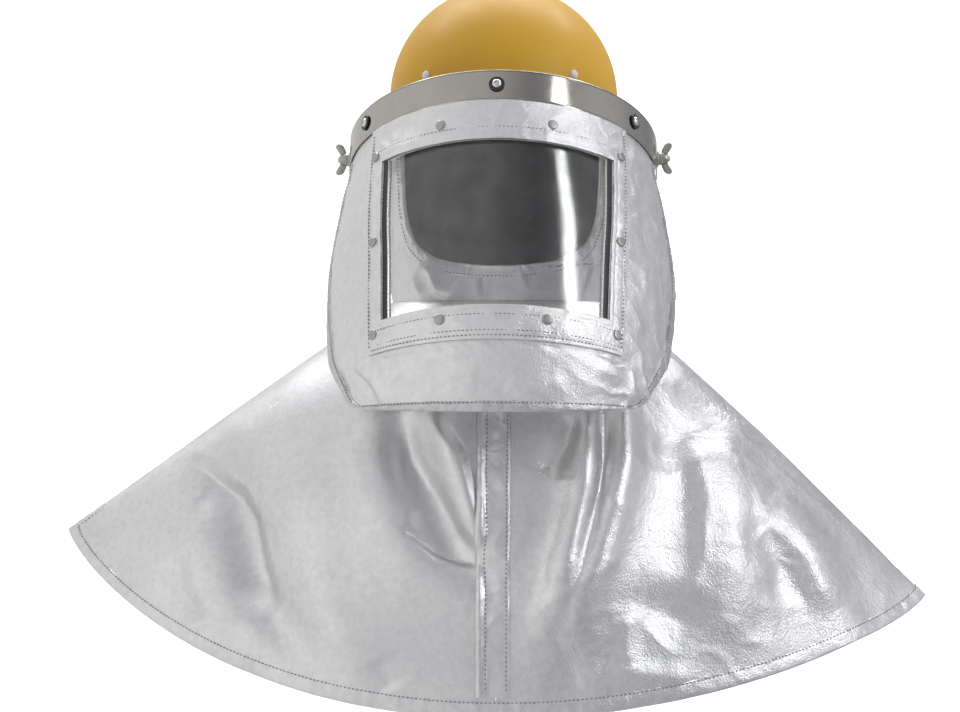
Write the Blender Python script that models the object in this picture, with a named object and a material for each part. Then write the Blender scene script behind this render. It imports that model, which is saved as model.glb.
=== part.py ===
"""Aluminized hood under a hard hat with a flip-up face shield.

Metres, +Z up, the front faces -Y. The origin lies midway between the two pivots of the shield.
"""
import math
from collections import namedtuple

import bmesh
import bpy
from mathutils import Vector

# Gaps and cloth
CLEAR = 0.0003            # gap between pieces that touch
SEAM_CLEAR = 0.0002       # half the gap where two cloth panels meet
CLOTH = 0.0018            # wall of the aluminized cloth
TAPE = 0.0010             # wall of a binding or folded hem

# Hard hat
DOME_RADIUS = 0.107       # half width of the dome and its height over its widest level
DOME_HALF_LENGTH = 0.125
DOME_Y = 0.005            # the dome's middle lies behind the pivots
DOME_Z = 0.056            # level where the dome is widest
HELMET_WALL = 0.0025
RIM_FLARE = 0.0025         # how much wider than the dome the rim is
RIM_SIDE_Z = 0.015
RIM_FRONT_Z = 0.040
LIP = 0.0025              # the lip that runs round the rim
PEAK = 0.012              # what the peak adds to the lip at the front
PEAK_FALL = 0.003
STUD_RADIUS = 0.004
STUD_HEIGHT = 0.003
STUD_COLUMN = 3           # columns of the shell's facets between the front and a stud
STUD_Z = 0.068

# Face shield: one curved surface that all of its pieces follow
VISOR_TOP_Z = 0.064       # top edge at the front
VISOR_TOP_Y = -0.158
VISOR_HEIGHT = 0.295
VISOR_LEAN = 0.094        # how far the bottom stands in front of the top
VISOR_HALF_WIDTH = 0.142
VISOR_DEPTH = 0.160       # front to side, seen from above
VISOR_SIDE_DROP = 0.054   # how much lower the sides are than the front
SURROUND_INSET = 0.004    # the cloth starts this far under the band's top edge
WINDOW_DROP = 0.062       # from the shield's top down to the window
WINDOW_HEIGHT = 0.144
FRAME_WALL = 0.0016
FRAME_FOOT = 0.029        # strip of frame under the window
LENS_WALL = 0.0015
LAYER_FIT = 0.0007        # gap between the shield's cloth and what lies on it or under it
LENS_MARGIN = 0.007       # what the lens runs past the window on each side
CHANNEL_WIDTH = 0.0062
CHANNEL_HEIGHT = 0.0030
BINDING_WIDTH = 0.009

# Steel band and pivots
BAND_WIDTH = 0.027
BAND_WALL = 0.0012
EAR_REACH = 0.013         # the band ends this far behind the pivot
BOLT_ANGLE = 57.0         # side bolts of the band, degrees from the front
BAND_BOLT_RADIUS = 0.0042
BAND_BOLT_HEIGHT = 0.0032
BAND_WASHER_RADIUS = 0.0068
BAND_WASHER_WALL = 0.0014
PIVOT_BOLT_RADIUS = 0.003
PIVOT_FIT = 0.0004        # radial gap round the pivot bolt
HOLE_REACH = 0.010         # how far to each side of a plate its hole is cut
PIVOT_HEAD_RADIUS = 0.006
PIVOT_HEAD_HEIGHT = 0.003
PIVOT_WASHER_RADIUS = 0.0085
PIVOT_WASHER_WALL = 0.0012
BRACKET_WALL = 0.002
BRACKET_HALF_WIDTH = 0.009
BRACKET_DROP = 0.009
BRACKET_SHELF_Z = 0.014
BRACKET_TOP_Z = 0.034
NUT_RADIUS = 0.0062
NUT_LENGTH = 0.0085
WING_SPAN = 0.0150        # from the nut's axis to a wing's tip
WING_WALL = 0.0024
BOLT_END = 0.0022         # what the bolt shows past the nut

# Rivets of the window frame
RIVET_RADIUS = 0.0047
RIVET_HEIGHT = 0.0016
RIVET_INSET = 0.0085      # from the frame's outer edge to the middle of a rivet at its side
RIVET_ABOVE = 0.0158      # from the window up to the rivets over it
RIVET_BELOW = 0.0105      # from the window down to the rivets under it

# Cowl
COWL_TOP_Z = 0.030
COWL_FIT = 0.0012         # gap between the cowl's top and the helmet
NECK_Z = -0.135
NECK_HALF_WIDTH = 0.105
NECK_HALF_DEPTH = 0.096
NECK_Y = 0.004
FACE_BOTTOM_Z = -0.104
FACE_HALF_ANGLE = 60.0
FACE_BINDING_WIDTH = 0.011
FACE_BINDING_FIT = 0.0012
NECK_SPREAD = 25.0        # angle at the neck under the opening's edge

# Cape
LEFT_REACH = 0.412
LEFT_TIP_Z = -0.349
RIGHT_REACH = 0.393
RIGHT_TIP_Z = -0.407
FRONT_DEPTH = 0.190
FRONT_HEM_Z = -0.496
BACK_DEPTH = 0.215
BACK_HEM_Z = -0.485
CAPE_POINT = 1.9          # how pointed the cape's sides are, seen from above
CAPE_HEM_CURVE = 1.5      # how fast the hem climbs towards the sides
CHEST_BOW = 1.3           # how far the chest and back swell before they fall
HEM_WIDTH = 0.013
FOLD_FADE = 0.12           # share of the cape's drop over which a fold begins, on each side
FOLD_TAIL = 0.06           # share of the drop by which a fold starts to end before its end
FOLD_SIDE_FADE = 0.12      # share of the reach over which folds flatten towards the side seams
FOLD_ASIDE = 0.45          # folds rise this much sideways and upwards for each 1 forwards
FOLD_UP = 0.35
PLACKET_LEFT = -0.018
PLACKET_RIGHT = 0.012
PLACKET_TOP = 0.10        # share of the way from the neck to the hem
PLACKET_FIT = 0.0011

# Rows down the shield: share of its height, then shares of lean, half width and side drop, and the
# angles in degrees from the front of the window's edge, the frame's edge and the cloth's edge
VisorRow = namedtuple("VisorRow", "down lean width side_drop window frame edge")
VISOR_ROWS = [
    VisorRow(0.000, 0.000, 1.000, 1.00, 45.3, 52.0, 80.0),
    VisorRow(0.100, 0.126, 1.000, 1.07, 45.0, 51.7, 80.3),
    VisorRow(0.210, 0.266, 1.050, 1.15, 42.3, 49.0, 81.0),
    VisorRow(0.454, 0.574, 1.113, 1.15, 38.8, 45.2, 85.0),
    VisorRow(0.698, 0.883, 1.106, 1.15, 37.7, 44.2, 74.0),
    VisorRow(0.797, 0.960, 1.099, 0.96, 37.2, 43.7, 67.0),
    VisorRow(0.900, 0.990, 1.090, 0.45, 36.6, 42.9, 61.0),
    VisorRow(0.965, 0.998, 1.083, 0.33, 35.6, 41.0, 54.0),
    VisorRow(1.000, 1.000, 1.080, 0.00, 33.5, 38.0, 45.0),
]

# Rows down the face opening: share of the way from the cowl's top to the chin, share of half angle
FaceRow = namedtuple("FaceRow", "down angle")
FACE_ROWS = [
    FaceRow(0.00, 1.00),
    FaceRow(0.55, 0.97),
    FaceRow(0.80, 0.84),
    FaceRow(0.92, 0.64),
    FaceRow(0.98, 0.38),
    FaceRow(1.00, 0.12),
]

# Folds of the cape: side is the share of the reach, -1 at the left tip and 1 at the right one, and
# drop is the share of the way from the neck to the hem, both where the fold starts and where it ends
Fold = namedtuple("Fold", "name side drop end_side end_drop half_width height")
FRONT_FOLDS = [
    Fold("left shoulder valley", -0.80, 0.58, -0.50, 0.90, 0.09, -0.012),
    Fold("left outer ridge", -0.60, 0.48, -0.36, 0.92, 0.10, 0.005),
    Fold("left chest valley", -0.34, 0.34, -0.06, 0.68, 0.08, -0.012),
    Fold("left chest ridge", -0.22, 0.30, -0.04, 0.64, 0.05, 0.007),
    Fold("right chest ridge", 0.34, 0.28, 0.13, 0.80, 0.05, 0.010),
    Fold("right chest valley", 0.40, 0.30, 0.17, 0.78, 0.04, -0.006),
    Fold("right outer ridge", 0.49, 0.28, 0.19, 0.80, 0.06, 0.011),
    Fold("right shoulder valley", 0.62, 0.34, 0.44, 0.82, 0.11, -0.012),
    Fold("right shoulder ridge", 0.76, 0.45, 0.56, 0.82, 0.09, 0.009),
    Fold("right hem ridge", 0.79, 0.58, 0.80, 1.00, 0.07, 0.008),
]
BACK_FOLDS = [
    Fold("back left valley", -0.60, 0.30, -0.45, 1.00, 0.11, -0.012),
    Fold("back left ridge", -0.30, 0.25, -0.20, 1.00, 0.10, 0.011),
    Fold("back right valley", 0.25, 0.30, 0.18, 1.00, 0.10, -0.010),
    Fold("back right ridge", 0.55, 0.30, 0.48, 1.00, 0.11, 0.012),
]

# Places of the frame's rivets: side is the share of the frame's half width, down the share of height
RivetRow = namedtuple("RivetRow", "side down")
RIVET_ROWS = [
    RivetRow(-0.44, "top"),
    RivetRow(0.44, "top"),
    RivetRow(-1.00, 0.10),
    RivetRow(1.00, 0.10),
    RivetRow(-1.00, 0.52),
    RivetRow(1.00, 0.52),
    RivetRow(-1.00, 0.95),
    RivetRow(1.00, 0.95),
    RivetRow(-0.44, "foot"),
    RivetRow(0.44, "foot"),
]

# Domed heads: shares of their height and of their radius
HeadRow = namedtuple("HeadRow", "height radius")
STUD_HEAD = [HeadRow(0.50, 1.00), HeadRow(0.90, 0.60)]
RIVET_HEAD = [HeadRow(0.45, 1.00), HeadRow(0.90, 0.72)]
BOLT_HEAD = [HeadRow(0.50, 1.00), HeadRow(0.88, 0.68)]
NUT_BODY = [HeadRow(0.45, 0.95), HeadRow(1.00, 0.74)]

# A wing of a wing nut: shares of the nut's length, and of the wing's span; 0 is at the nut
WingRow = namedtuple("WingRow", "out span")
WING_ROWS = [
    WingRow(0.12, 0.00),
    WingRow(0.60, 0.85),
    WingRow(1.20, 1.00),
    WingRow(1.50, 0.85),
    WingRow(1.35, 0.62),
    WingRow(0.90, 0.00),
]

# Levels down the cowl's face opening, as shares of its height
FACE_LEVELS = (0.0, 0.12, 0.36, 0.56, 0.72, 0.83, 0.91, 0.96, 0.985, 1.0)

# Values that follow from the sizes above
SIDES = (("left", -1.0), ("right", 1.0))
STEP = 0.004                      # step of the differences that give a surface's normal
ANGLE_STEP = 0.05
HELMET_COLUMNS = 28
FRONT_COLUMNS = 16                # columns of facets in each front panel of the cape
BACK_COLUMNS = 18
CAPE_ROWS = 12
WINDOW_U = 0.50                   # the window's edge, on the shield's -1 to 1 across
FRAME_U = 0.62                    # the frame's edge
RIM_HALF_WIDTH = DOME_RADIUS + RIM_FLARE
BAND_LOW = LAYER_FIT
BAND_HIGH = BAND_LOW + BAND_WALL
FRAME_HIGH = LAYER_FIT + FRAME_WALL
EAR_BEND = VISOR_DEPTH ** 2 / VISOR_HALF_WIDTH
EAR_SAG = 2.0 * BRACKET_HALF_WIDTH ** 2 / EAR_BEND    # room for the ear's bend beside a bracket
BRACKET_FACE = VISOR_HALF_WIDTH + BAND_LOW - EAR_SAG - CLEAR
PIVOT_HOLE = PIVOT_BOLT_RADIUS + PIVOT_FIT


def clear_scene():
    for item in list(bpy.data.objects):
        bpy.data.objects.remove(item, do_unlink=True)


def smooth(share):
    """0 to 1 with level ends."""
    share = min(max(share, 0.0), 1.0)
    return share * share * (3.0 - 2.0 * share)


def mix(first, last, share):
    return first + (last - first) * share


def steps(first, last, count):
    return [mix(first, last, index / count) for index in range(count + 1)]


def row_value(rows, column, place):
    """A column of a table at a place of its first column, on a smooth curve through the rows."""
    places = [row[0] for row in rows]
    values = [getattr(row, column) for row in rows]
    place = min(max(place, places[0]), places[-1])
    index = 0
    while index < len(rows) - 2 and place > places[index + 1]:
        index += 1
    span = places[index + 1] - places[index]
    slopes = []
    for at in (index, index + 1):
        before = max(at - 1, 0)
        after = min(at + 1, len(rows) - 1)
        slope = (values[after] - values[before]) / (places[after] - places[before]) * span
        turns = (values[after] - values[at]) * (values[at] - values[before]) <= 0.0
        slopes.append(0.0 if turns and before < at < after else slope)
    share = (place - places[index]) / span
    rise = values[index + 1] - values[index]
    curve = 2.0 * rise - slopes[0] - slopes[1]
    bend = 3.0 * rise - 2.0 * slopes[0] - slopes[1]
    return values[index] + share * slopes[0] - share ** 3 * curve + share * share * bend


# Materials

def material(name, colour, roughness, metallic=0.0, clear=0.0):
    made = bpy.data.materials.new(name)
    made.use_nodes = True
    shader = made.node_tree.nodes["Principled BSDF"]
    shader.inputs["Base Color"].default_value = (*colour, 1.0)
    shader.inputs["Roughness"].default_value = roughness
    shader.inputs["Metallic"].default_value = metallic
    shader.inputs["Transmission Weight"].default_value = clear
    return made


def helmet_material():
    return material("helmet_yellow", (0.62, 0.38, 0.06), 0.35)


def foil_material():
    return material("aluminized_cloth", (0.62, 0.62, 0.64), 0.38, 0.85)


def tape_material():
    return material("aluminized_tape", (0.55, 0.55, 0.57), 0.42, 0.80)


def steel_material():
    return material("polished_steel", (0.60, 0.60, 0.60), 0.14, 1.0)


def bolt_material():
    return material("bright_fasteners", (0.66, 0.66, 0.66), 0.25, 1.0)


def dark_material():
    return material("dark_channel", (0.03, 0.03, 0.035), 0.45)


def lens_material():
    return material("clear_lens", (0.92, 0.94, 0.94), 0.05, 0.0, 1.0)


def stud_material():
    return material("pale_stud", (0.62, 0.60, 0.66), 0.40)


# Ways of making solids

def keep(name, mesh, paint, sharp=40.0):
    """Turn a bmesh into an object of triangles that point out; layers then bend along like lines."""
    bmesh.ops.recalc_face_normals(mesh, faces=mesh.faces)
    bmesh.ops.triangulate(mesh, faces=mesh.faces)
    data = bpy.data.meshes.new(name)
    mesh.to_mesh(data)
    mesh.free()
    data.shade_smooth()
    data.set_sharp_from_angle(angle=math.radians(sharp))
    data.materials.append(paint)
    made = bpy.data.objects.new(name, data)
    bpy.context.scene.collection.objects.link(made)
    return made


def normal_at(surface, u, v, u_step, v_step):
    """Outward normal of a surface whose u runs to the right and whose v runs down."""
    across = surface(u + u_step, v) - surface(u - u_step, v)
    down = surface(u, v + v_step) - surface(u, v - v_step)
    return down.cross(across).normalized()


def plate(name, surface, us, vs, low, high, paint, skip=None, ring=False, shift=(0.0, 0.0, 0.0),
          u_step=STEP, v_step=STEP):
    """A sheet that lies from low to high over a surface, with skipped cells left open."""
    mesh = bmesh.new()
    sheets = []
    for height in (high, low):
        grid = []
        for v in vs:
            line = []
            for u in us:
                point = surface(u, v) + normal_at(surface, u, v, u_step, v_step) * height
                line.append(mesh.verts.new(point + Vector(shift)))
            grid.append(line)
        sheets.append(grid)
    outer, inner = sheets
    columns = len(us) if ring else len(us) - 1
    rows = len(vs) - 1

    def open_cell(row, column):
        if ring:
            column %= columns
        if row < 0 or row >= rows or column < 0 or column >= columns:
            return True
        return skip is not None and skip(column, row)

    for row in range(rows):
        for column in range(columns):
            if open_cell(row, column):
                continue
            right = (column + 1) % len(us)
            mesh.faces.new((outer[row][column], outer[row + 1][column],
                            outer[row + 1][right], outer[row][right]))
            mesh.faces.new((inner[row][column], inner[row][right],
                            inner[row + 1][right], inner[row + 1][column]))
            borders = (
                (row - 1, column, row, column, row, right),
                (row + 1, column, row + 1, right, row + 1, column),
                (row, column - 1, row + 1, column, row, column),
                (row, column + 1, row, right, row + 1, right),
            )
            for near_row, near_column, row_a, column_a, row_b, column_b in borders:
                if open_cell(near_row, near_column):
                    mesh.faces.new((outer[row_a][column_a], outer[row_b][column_b],
                                    inner[row_b][column_b], inner[row_a][column_a]))
    return keep(name, mesh, paint)


def loop_solid(name, sections, paint, closed=False):
    """Join sections of as many points each into a bar, with flat ends or as a closed ring."""
    mesh = bmesh.new()
    loops = [[mesh.verts.new(point) for point in section] for section in sections]
    count = len(loops[0])
    last = len(loops) if closed else len(loops) - 1
    for index in range(last):
        here = loops[index]
        there = loops[(index + 1) % len(loops)]
        for corner in range(count):
            after = (corner + 1) % count
            mesh.faces.new((here[corner], here[after], there[after], there[corner]))
    if not closed:
        mesh.faces.new(loops[0])
        mesh.faces.new(loops[-1])
    return keep(name, mesh, paint)


def binding(name, surface, edge, inset, low, high, paint, closed=False, gap=CLEAR,
            u_step=STEP, v_step=STEP):
    """A folded tape that wraps the edge of a sheet lying from low to high over a surface."""
    sections = []
    for (edge_u, edge_v), (inner_u, inner_v) in zip(edge, inset):
        rim = surface(edge_u, edge_v)
        root = surface(inner_u, inner_v)
        rim_normal = normal_at(surface, edge_u, edge_v, u_step, v_step)
        root_normal = normal_at(surface, inner_u, inner_v, u_step, v_step)
        out = (rim - root).normalized()
        top = high + gap
        foot = low - gap
        sections.append([
            root + root_normal * (top + TAPE),
            rim + rim_normal * (top + TAPE) + out * (gap + TAPE),
            rim + rim_normal * (foot - TAPE) + out * (gap + TAPE),
            root + root_normal * (foot - TAPE),
            root + root_normal * foot,
            rim + rim_normal * foot + out * gap,
            rim + rim_normal * top + out * gap,
            root + root_normal * top,
        ])
    return loop_solid(name, sections, paint, closed)


def turned(name, profile, origin, axis, paint, sides=16, ring=False):
    """A profile of (height, radius) points turned about an axis, solid unless it is a ring."""
    frame = Vector(axis).normalized().to_track_quat("Z", "Y").to_matrix()
    mesh = bmesh.new()
    loops = []
    for height, radius in profile:
        if radius == 0.0:
            loops.append([mesh.verts.new(Vector(origin) + frame @ Vector((0.0, 0.0, height)))])
            continue
        line = []
        for index in range(sides):
            angle = math.tau * index / sides
            spot = Vector((radius * math.cos(angle), radius * math.sin(angle), height))
            line.append(mesh.verts.new(Vector(origin) + frame @ spot))
        loops.append(line)
    pairs = list(zip(loops, loops[1:]))
    if ring:
        pairs.append((loops[-1], loops[0]))
    for here, there in pairs:
        for index in range(sides):
            after = (index + 1) % sides
            corners = [here[index % len(here)], here[after % len(here)],
                       there[after % len(there)], there[index % len(there)]]
            face = []
            for corner in corners:
                if corner not in face:
                    face.append(corner)
            mesh.faces.new(face)
    return keep(name, mesh, paint)


def head_profile(rows, height, radius, foot=0.0):
    """A domed head's profile, from its flat foot to its top."""
    sides = tuple((row.height * height, row.radius * radius) for row in rows)
    return ((foot, 0.0), (foot, radius)) + sides + ((height, 0.0),)


def use_boolean(target, tool, operation):
    tool.hide_render = True
    tool.display_type = "WIRE"
    change = target.modifiers.new(operation.lower(), "BOOLEAN")
    change.operation = operation
    change.solver = "EXACT"
    change.object = tool


# Hard hat

def helmet_scale(z):
    """Share of the dome's half width at a level."""
    if z >= DOME_Z:
        return math.sqrt(max(1.0 - ((z - DOME_Z) / DOME_RADIUS) ** 2, 0.0))
    flare = RIM_HALF_WIDTH / DOME_RADIUS - 1.0
    return 1.0 + flare * ((DOME_Z - z) / (DOME_Z - RIM_SIDE_Z))


def helmet_point(angle, z, inset=0.0):
    """A point of the shell: angle 0 is the front, inset is how far it lies under the outer face."""
    scale = helmet_scale(z)
    width = DOME_RADIUS * scale - inset
    length = DOME_HALF_LENGTH * scale - inset
    return Vector((width * math.sin(angle), DOME_Y - length * math.cos(angle), z))


def rim_z(angle):
    return mix(RIM_SIDE_Z, RIM_FRONT_Z, max(math.cos(angle), 0.0) ** 2)


def make_helmet():
    """The shell as columns from the crown down to the lip and up again inside."""
    count = HELMET_COLUMNS
    bows = steps(0.0, math.radians(90.0), 6)[1:]
    bows.insert(5, math.acos((STUD_Z - DOME_Z) / DOME_RADIUS))
    mesh = bmesh.new()
    crown = mesh.verts.new((0.0, DOME_Y, DOME_Z + DOME_RADIUS))
    inner_crown = mesh.verts.new((0.0, DOME_Y, DOME_Z + DOME_RADIUS - HELMET_WALL))
    columns = []
    for index in range(count):
        angle = math.tau * index / count
        share = max(math.cos(angle), 0.0) ** 1.5
        outer = []
        inner = []
        for bow in bows:
            outer.append(helmet_point(angle, DOME_Z + DOME_RADIUS * math.cos(bow)))
            inner_radius = DOME_RADIUS - HELMET_WALL
            spot = helmet_point(angle, DOME_Z, HELMET_WALL)
            middle = Vector((0.0, DOME_Y, DOME_Z))
            inner.append(middle + (spot - middle) * math.sin(bow)
                         + Vector((0.0, 0.0, inner_radius * math.cos(bow))))
        rim = rim_z(angle)
        edge = helmet_point(angle, rim)
        away = Vector((math.sin(angle), -math.cos(angle), 0.0))
        tip = edge + away * (LIP + PEAK * share) - Vector((0.0, 0.0, PEAK_FALL * share))
        foot = Vector((0.0, 0.0, -HELMET_WALL))
        column = outer + [edge, tip, tip + foot, helmet_point(angle, rim, HELMET_WALL) + foot]
        column += list(reversed(inner))
        columns.append([mesh.verts.new(point) for point in column])
    for index, here in enumerate(columns):
        there = columns[(index + 1) % count]
        mesh.faces.new((crown, here[0], there[0]))
        mesh.faces.new((inner_crown, there[-1], here[-1]))
        for level in range(len(here) - 1):
            mesh.faces.new((here[level], here[level + 1], there[level + 1], there[level]))
    return keep("helmet_shell", mesh, helmet_material())


def make_studs():
    paint = stud_material()
    for side, sign in SIDES:
        angle = math.tau * STUD_COLUMN / HELMET_COLUMNS * sign
        spot = helmet_point(angle, STUD_Z)
        round_turn = helmet_point(angle + 0.02, STUD_Z) - helmet_point(angle - 0.02, STUD_Z)
        down = helmet_point(angle, STUD_Z - 0.002) - helmet_point(angle, STUD_Z + 0.002)
        normal = down.cross(round_turn).normalized()
        profile = head_profile(STUD_HEAD, STUD_HEIGHT, STUD_RADIUS, CLEAR)
        turned("helmet_stud_" + side, profile, spot, normal, paint, 12)


# Face shield

def visor_angle(u, v):
    """Angle from the front at a place across the shield, -1 and 1 being the cloth's edges."""
    size = abs(u)
    window = row_value(VISOR_ROWS, "window", v)
    frame = row_value(VISOR_ROWS, "frame", v)
    edge = row_value(VISOR_ROWS, "edge", v)
    if size <= WINDOW_U:
        angle = window * size / WINDOW_U
    elif size <= FRAME_U:
        angle = mix(window, frame, (size - WINDOW_U) / (FRAME_U - WINDOW_U))
    else:
        angle = mix(frame, edge, (size - FRAME_U) / (1.0 - FRAME_U))
    return math.copysign(math.radians(angle), u)


def visor_at(angle, v):
    """The shield's surface at an angle from the front and a share of its height down."""
    half_width = VISOR_HALF_WIDTH * row_value(VISOR_ROWS, "width", v)
    side_drop = VISOR_SIDE_DROP * row_value(VISOR_ROWS, "side_drop", v)
    front = VISOR_TOP_Y - VISOR_LEAN * row_value(VISOR_ROWS, "lean", v)
    back = 1.0 - math.cos(angle)
    return Vector((half_width * math.sin(angle), front + VISOR_DEPTH * back,
                   VISOR_TOP_Z - VISOR_HEIGHT * v - side_drop * back))


def visor_point(u, v):
    return visor_at(visor_angle(u, v), v)


def visor_share(distance):
    """Share of the shield's height for a distance down from its top."""
    return distance / VISOR_HEIGHT


def band_point(u, v):
    """The band: u is the angle from the front, and past the pivots the band runs straight back."""
    quarter = math.radians(90.0)
    if abs(u) <= quarter:
        return visor_at(u, v)
    end = visor_at(math.copysign(quarter, u), v)
    slope = Vector((0.0, VISOR_DEPTH, -VISOR_SIDE_DROP))
    return end + slope * (abs(u) - quarter)


def cut_pivot_hole(target, sign, x):
    """The hole that a pivot's bolt passes through."""
    profile = ((-HOLE_REACH, 0.0), (-HOLE_REACH, PIVOT_HOLE), (HOLE_REACH, PIVOT_HOLE),
               (HOLE_REACH, 0.0))
    tool = turned("%s_hole_%s" % (target.name, "left" if sign < 0.0 else "right"), profile,
                  (sign * x, 0.0, 0.0), (sign, 0.0, 0.0), steel_material())
    use_boolean(target, tool, "DIFFERENCE")


def make_band():
    """The band with rounded ends round the pivots, and a hole at each pivot."""
    reach = math.radians(90.0) + EAR_REACH / VISOR_DEPTH
    top = 0.0
    foot = visor_share(BAND_WIDTH)
    middle = (top + foot) / 2.0
    places = steps(-reach, reach, 38)
    sections = []
    for place in places:
        past = max(abs(place) - (reach - BAND_WIDTH / 2.0 / VISOR_DEPTH), 0.0)
        share = min(past * VISOR_DEPTH / (BAND_WIDTH / 2.0), 0.97)
        half = (foot - top) / 2.0 * math.sqrt(1.0 - share * share)
        upper = band_point(place, middle - half)
        lower = band_point(place, middle + half)
        upper_normal = normal_at(band_point, place, middle, ANGLE_STEP, STEP)
        sections.append([upper + upper_normal * BAND_HIGH, lower + upper_normal * BAND_HIGH,
                         lower + upper_normal * BAND_LOW, upper + upper_normal * BAND_LOW])
    band = loop_solid("visor_band", sections, steel_material())
    for side, sign in SIDES:
        cut_pivot_hole(band, sign, VISOR_HALF_WIDTH)
    return band


def binding_inset():
    """The binding's width across and down the shield."""
    arc = VISOR_HALF_WIDTH * math.radians(VISOR_ROWS[0].edge - VISOR_ROWS[0].frame)
    return BINDING_WIDTH / arc * (1.0 - FRAME_U), visor_share(BINDING_WIDTH)


def visor_columns(reach):
    """Places across the shield out to its frame or its edge, with every seam among them."""
    half = steps(0.0, WINDOW_U, 5) + [FRAME_U]
    if reach > FRAME_U:
        half += steps(FRAME_U, reach - binding_inset()[0], 3)[1:] + [reach]
    return [-place for place in reversed(half[1:])] + half


def window_rows(top, foot, above, below):
    """Places down the shield, with the window's top and foot among them."""
    window_top = visor_share(WINDOW_DROP)
    window_foot = visor_share(WINDOW_DROP + WINDOW_HEIGHT)
    rows = steps(top, window_top, above)
    rows += steps(window_top, window_foot, 6)[1:]
    rows += steps(window_foot, foot, below)[1:]
    return rows


def window_skip(us, vs):
    """Which cells of a sheet lie in the window."""
    window_top = visor_share(WINDOW_DROP)
    window_foot = visor_share(WINDOW_DROP + WINDOW_HEIGHT)

    def skip(column, row):
        across = abs(us[column] + us[column + 1]) / 2.0
        down = (vs[row] + vs[row + 1]) / 2.0
        return across < WINDOW_U and window_top < down < window_foot

    return skip


def surround_rows():
    foot = 1.0 - binding_inset()[1]
    return window_rows(visor_share(SURROUND_INSET), foot, 3, 5) + [1.0]


def make_surround(paint):
    us = visor_columns(1.0)
    vs = surround_rows()
    plate("visor_surround", visor_point, us, vs, -CLOTH, 0.0, paint, window_skip(us, vs))


def make_frame(paint):
    us = visor_columns(FRAME_U)
    top = visor_share(BAND_WIDTH + 2.0 * CLEAR)
    foot = visor_share(WINDOW_DROP + WINDOW_HEIGHT + FRAME_FOOT)
    vs = window_rows(top, foot, 2, 2)
    plate("window_frame", visor_point, us, vs, LAYER_FIT, FRAME_HIGH, paint, window_skip(us, vs))


def make_lens(paint):
    margin = LENS_MARGIN / (VISOR_HALF_WIDTH * math.radians(VISOR_ROWS[0].window)) * WINDOW_U
    us = [-WINDOW_U - margin] + steps(-WINDOW_U, WINDOW_U, 10) + [WINDOW_U + margin]
    top = visor_share(WINDOW_DROP - LENS_MARGIN)
    foot = visor_share(WINDOW_DROP + WINDOW_HEIGHT + LENS_MARGIN)
    high = -CLOTH - LAYER_FIT
    plate("visor_lens", visor_point, us, window_rows(top, foot, 1, 1), high - LENS_WALL, high, paint)


def make_channels(paint):
    """Dark strips that close the window's sides, on the lens."""
    arc = VISOR_HALF_WIDTH * math.radians(VISOR_ROWS[0].window)
    outer = WINDOW_U - 2.0 * CLEAR / arc * WINDOW_U
    inner = outer - CHANNEL_WIDTH / arc * WINDOW_U
    top = visor_share(WINDOW_DROP + 2.0 * CLEAR)
    foot = visor_share(WINDOW_DROP + WINDOW_HEIGHT - 2.0 * CLEAR)
    low = -CLOTH
    for side, sign in SIDES:
        us = sorted((sign * inner, sign * outer))
        plate("lens_channel_" + side, visor_point, us, steps(top, foot, 8), low, low + CHANNEL_HEIGHT,
              paint)


def make_surround_binding(paint):
    """The tape runs down one side, along the foot and up the other side."""
    side_inset, foot_inset = binding_inset()
    start = visor_share(BAND_WIDTH + 4.0 * CLEAR)
    rows = [start] + [v for v in surround_rows() if start + foot_inset / 2.0 < v < 1.0 - 1.5 * foot_inset]
    side = [((1.0, v), (1.0 - side_inset, v)) for v in rows]
    side.append(((1.0, 1.0 - foot_inset), (1.0 - side_inset, 1.0 - 1.6 * foot_inset)))
    side.append(((1.0, 1.0), (1.0 - side_inset, 1.0 - foot_inset)))
    side.append(((1.0 - side_inset, 1.0), (1.0 - 1.6 * side_inset, 1.0 - foot_inset)))
    columns = [u for u in visor_columns(1.0) if abs(u) < 1.0 - 1.5 * side_inset]
    foot = [((u, 1.0), (u, 1.0 - foot_inset)) for u in columns]
    left = [((-edge[0], edge[1]), (-inner[0], inner[1])) for edge, inner in side]
    path = left + foot + list(reversed(side))
    binding("surround_binding", visor_point, [pair[0] for pair in path], [pair[1] for pair in path],
            -CLOTH, 0.0, paint, gap=2.0 * CLEAR)


def rivet_place(row):
    """Where a rivet of the frame lies, across and down the shield."""
    top = BAND_WIDTH + RIVET_INSET + 2.0 * CLEAR
    foot = WINDOW_DROP + WINDOW_HEIGHT + FRAME_FOOT - RIVET_INSET
    if row.down == "top":
        v = visor_share(WINDOW_DROP - RIVET_ABOVE)
    elif row.down == "foot":
        v = visor_share(WINDOW_DROP + WINDOW_HEIGHT + RIVET_BELOW)
    else:
        v = visor_share(mix(top, foot, row.down))
    if abs(row.side) == 1.0:
        return math.copysign((WINDOW_U + FRAME_U) / 2.0, row.side), v
    return row.side * WINDOW_U, v


def make_rivets(paint):
    seat = FRAME_HIGH + CLEAR
    profile = head_profile(RIVET_HEAD, RIVET_HEIGHT, RIVET_RADIUS)
    for number, row in enumerate(RIVET_ROWS, 1):
        u, v = rivet_place(row)
        normal = normal_at(visor_point, u, v, STEP, STEP)
        origin = visor_point(u, v) + normal * seat
        turned("frame_rivet_%02d" % number, profile, origin, normal, paint, 10)


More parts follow.
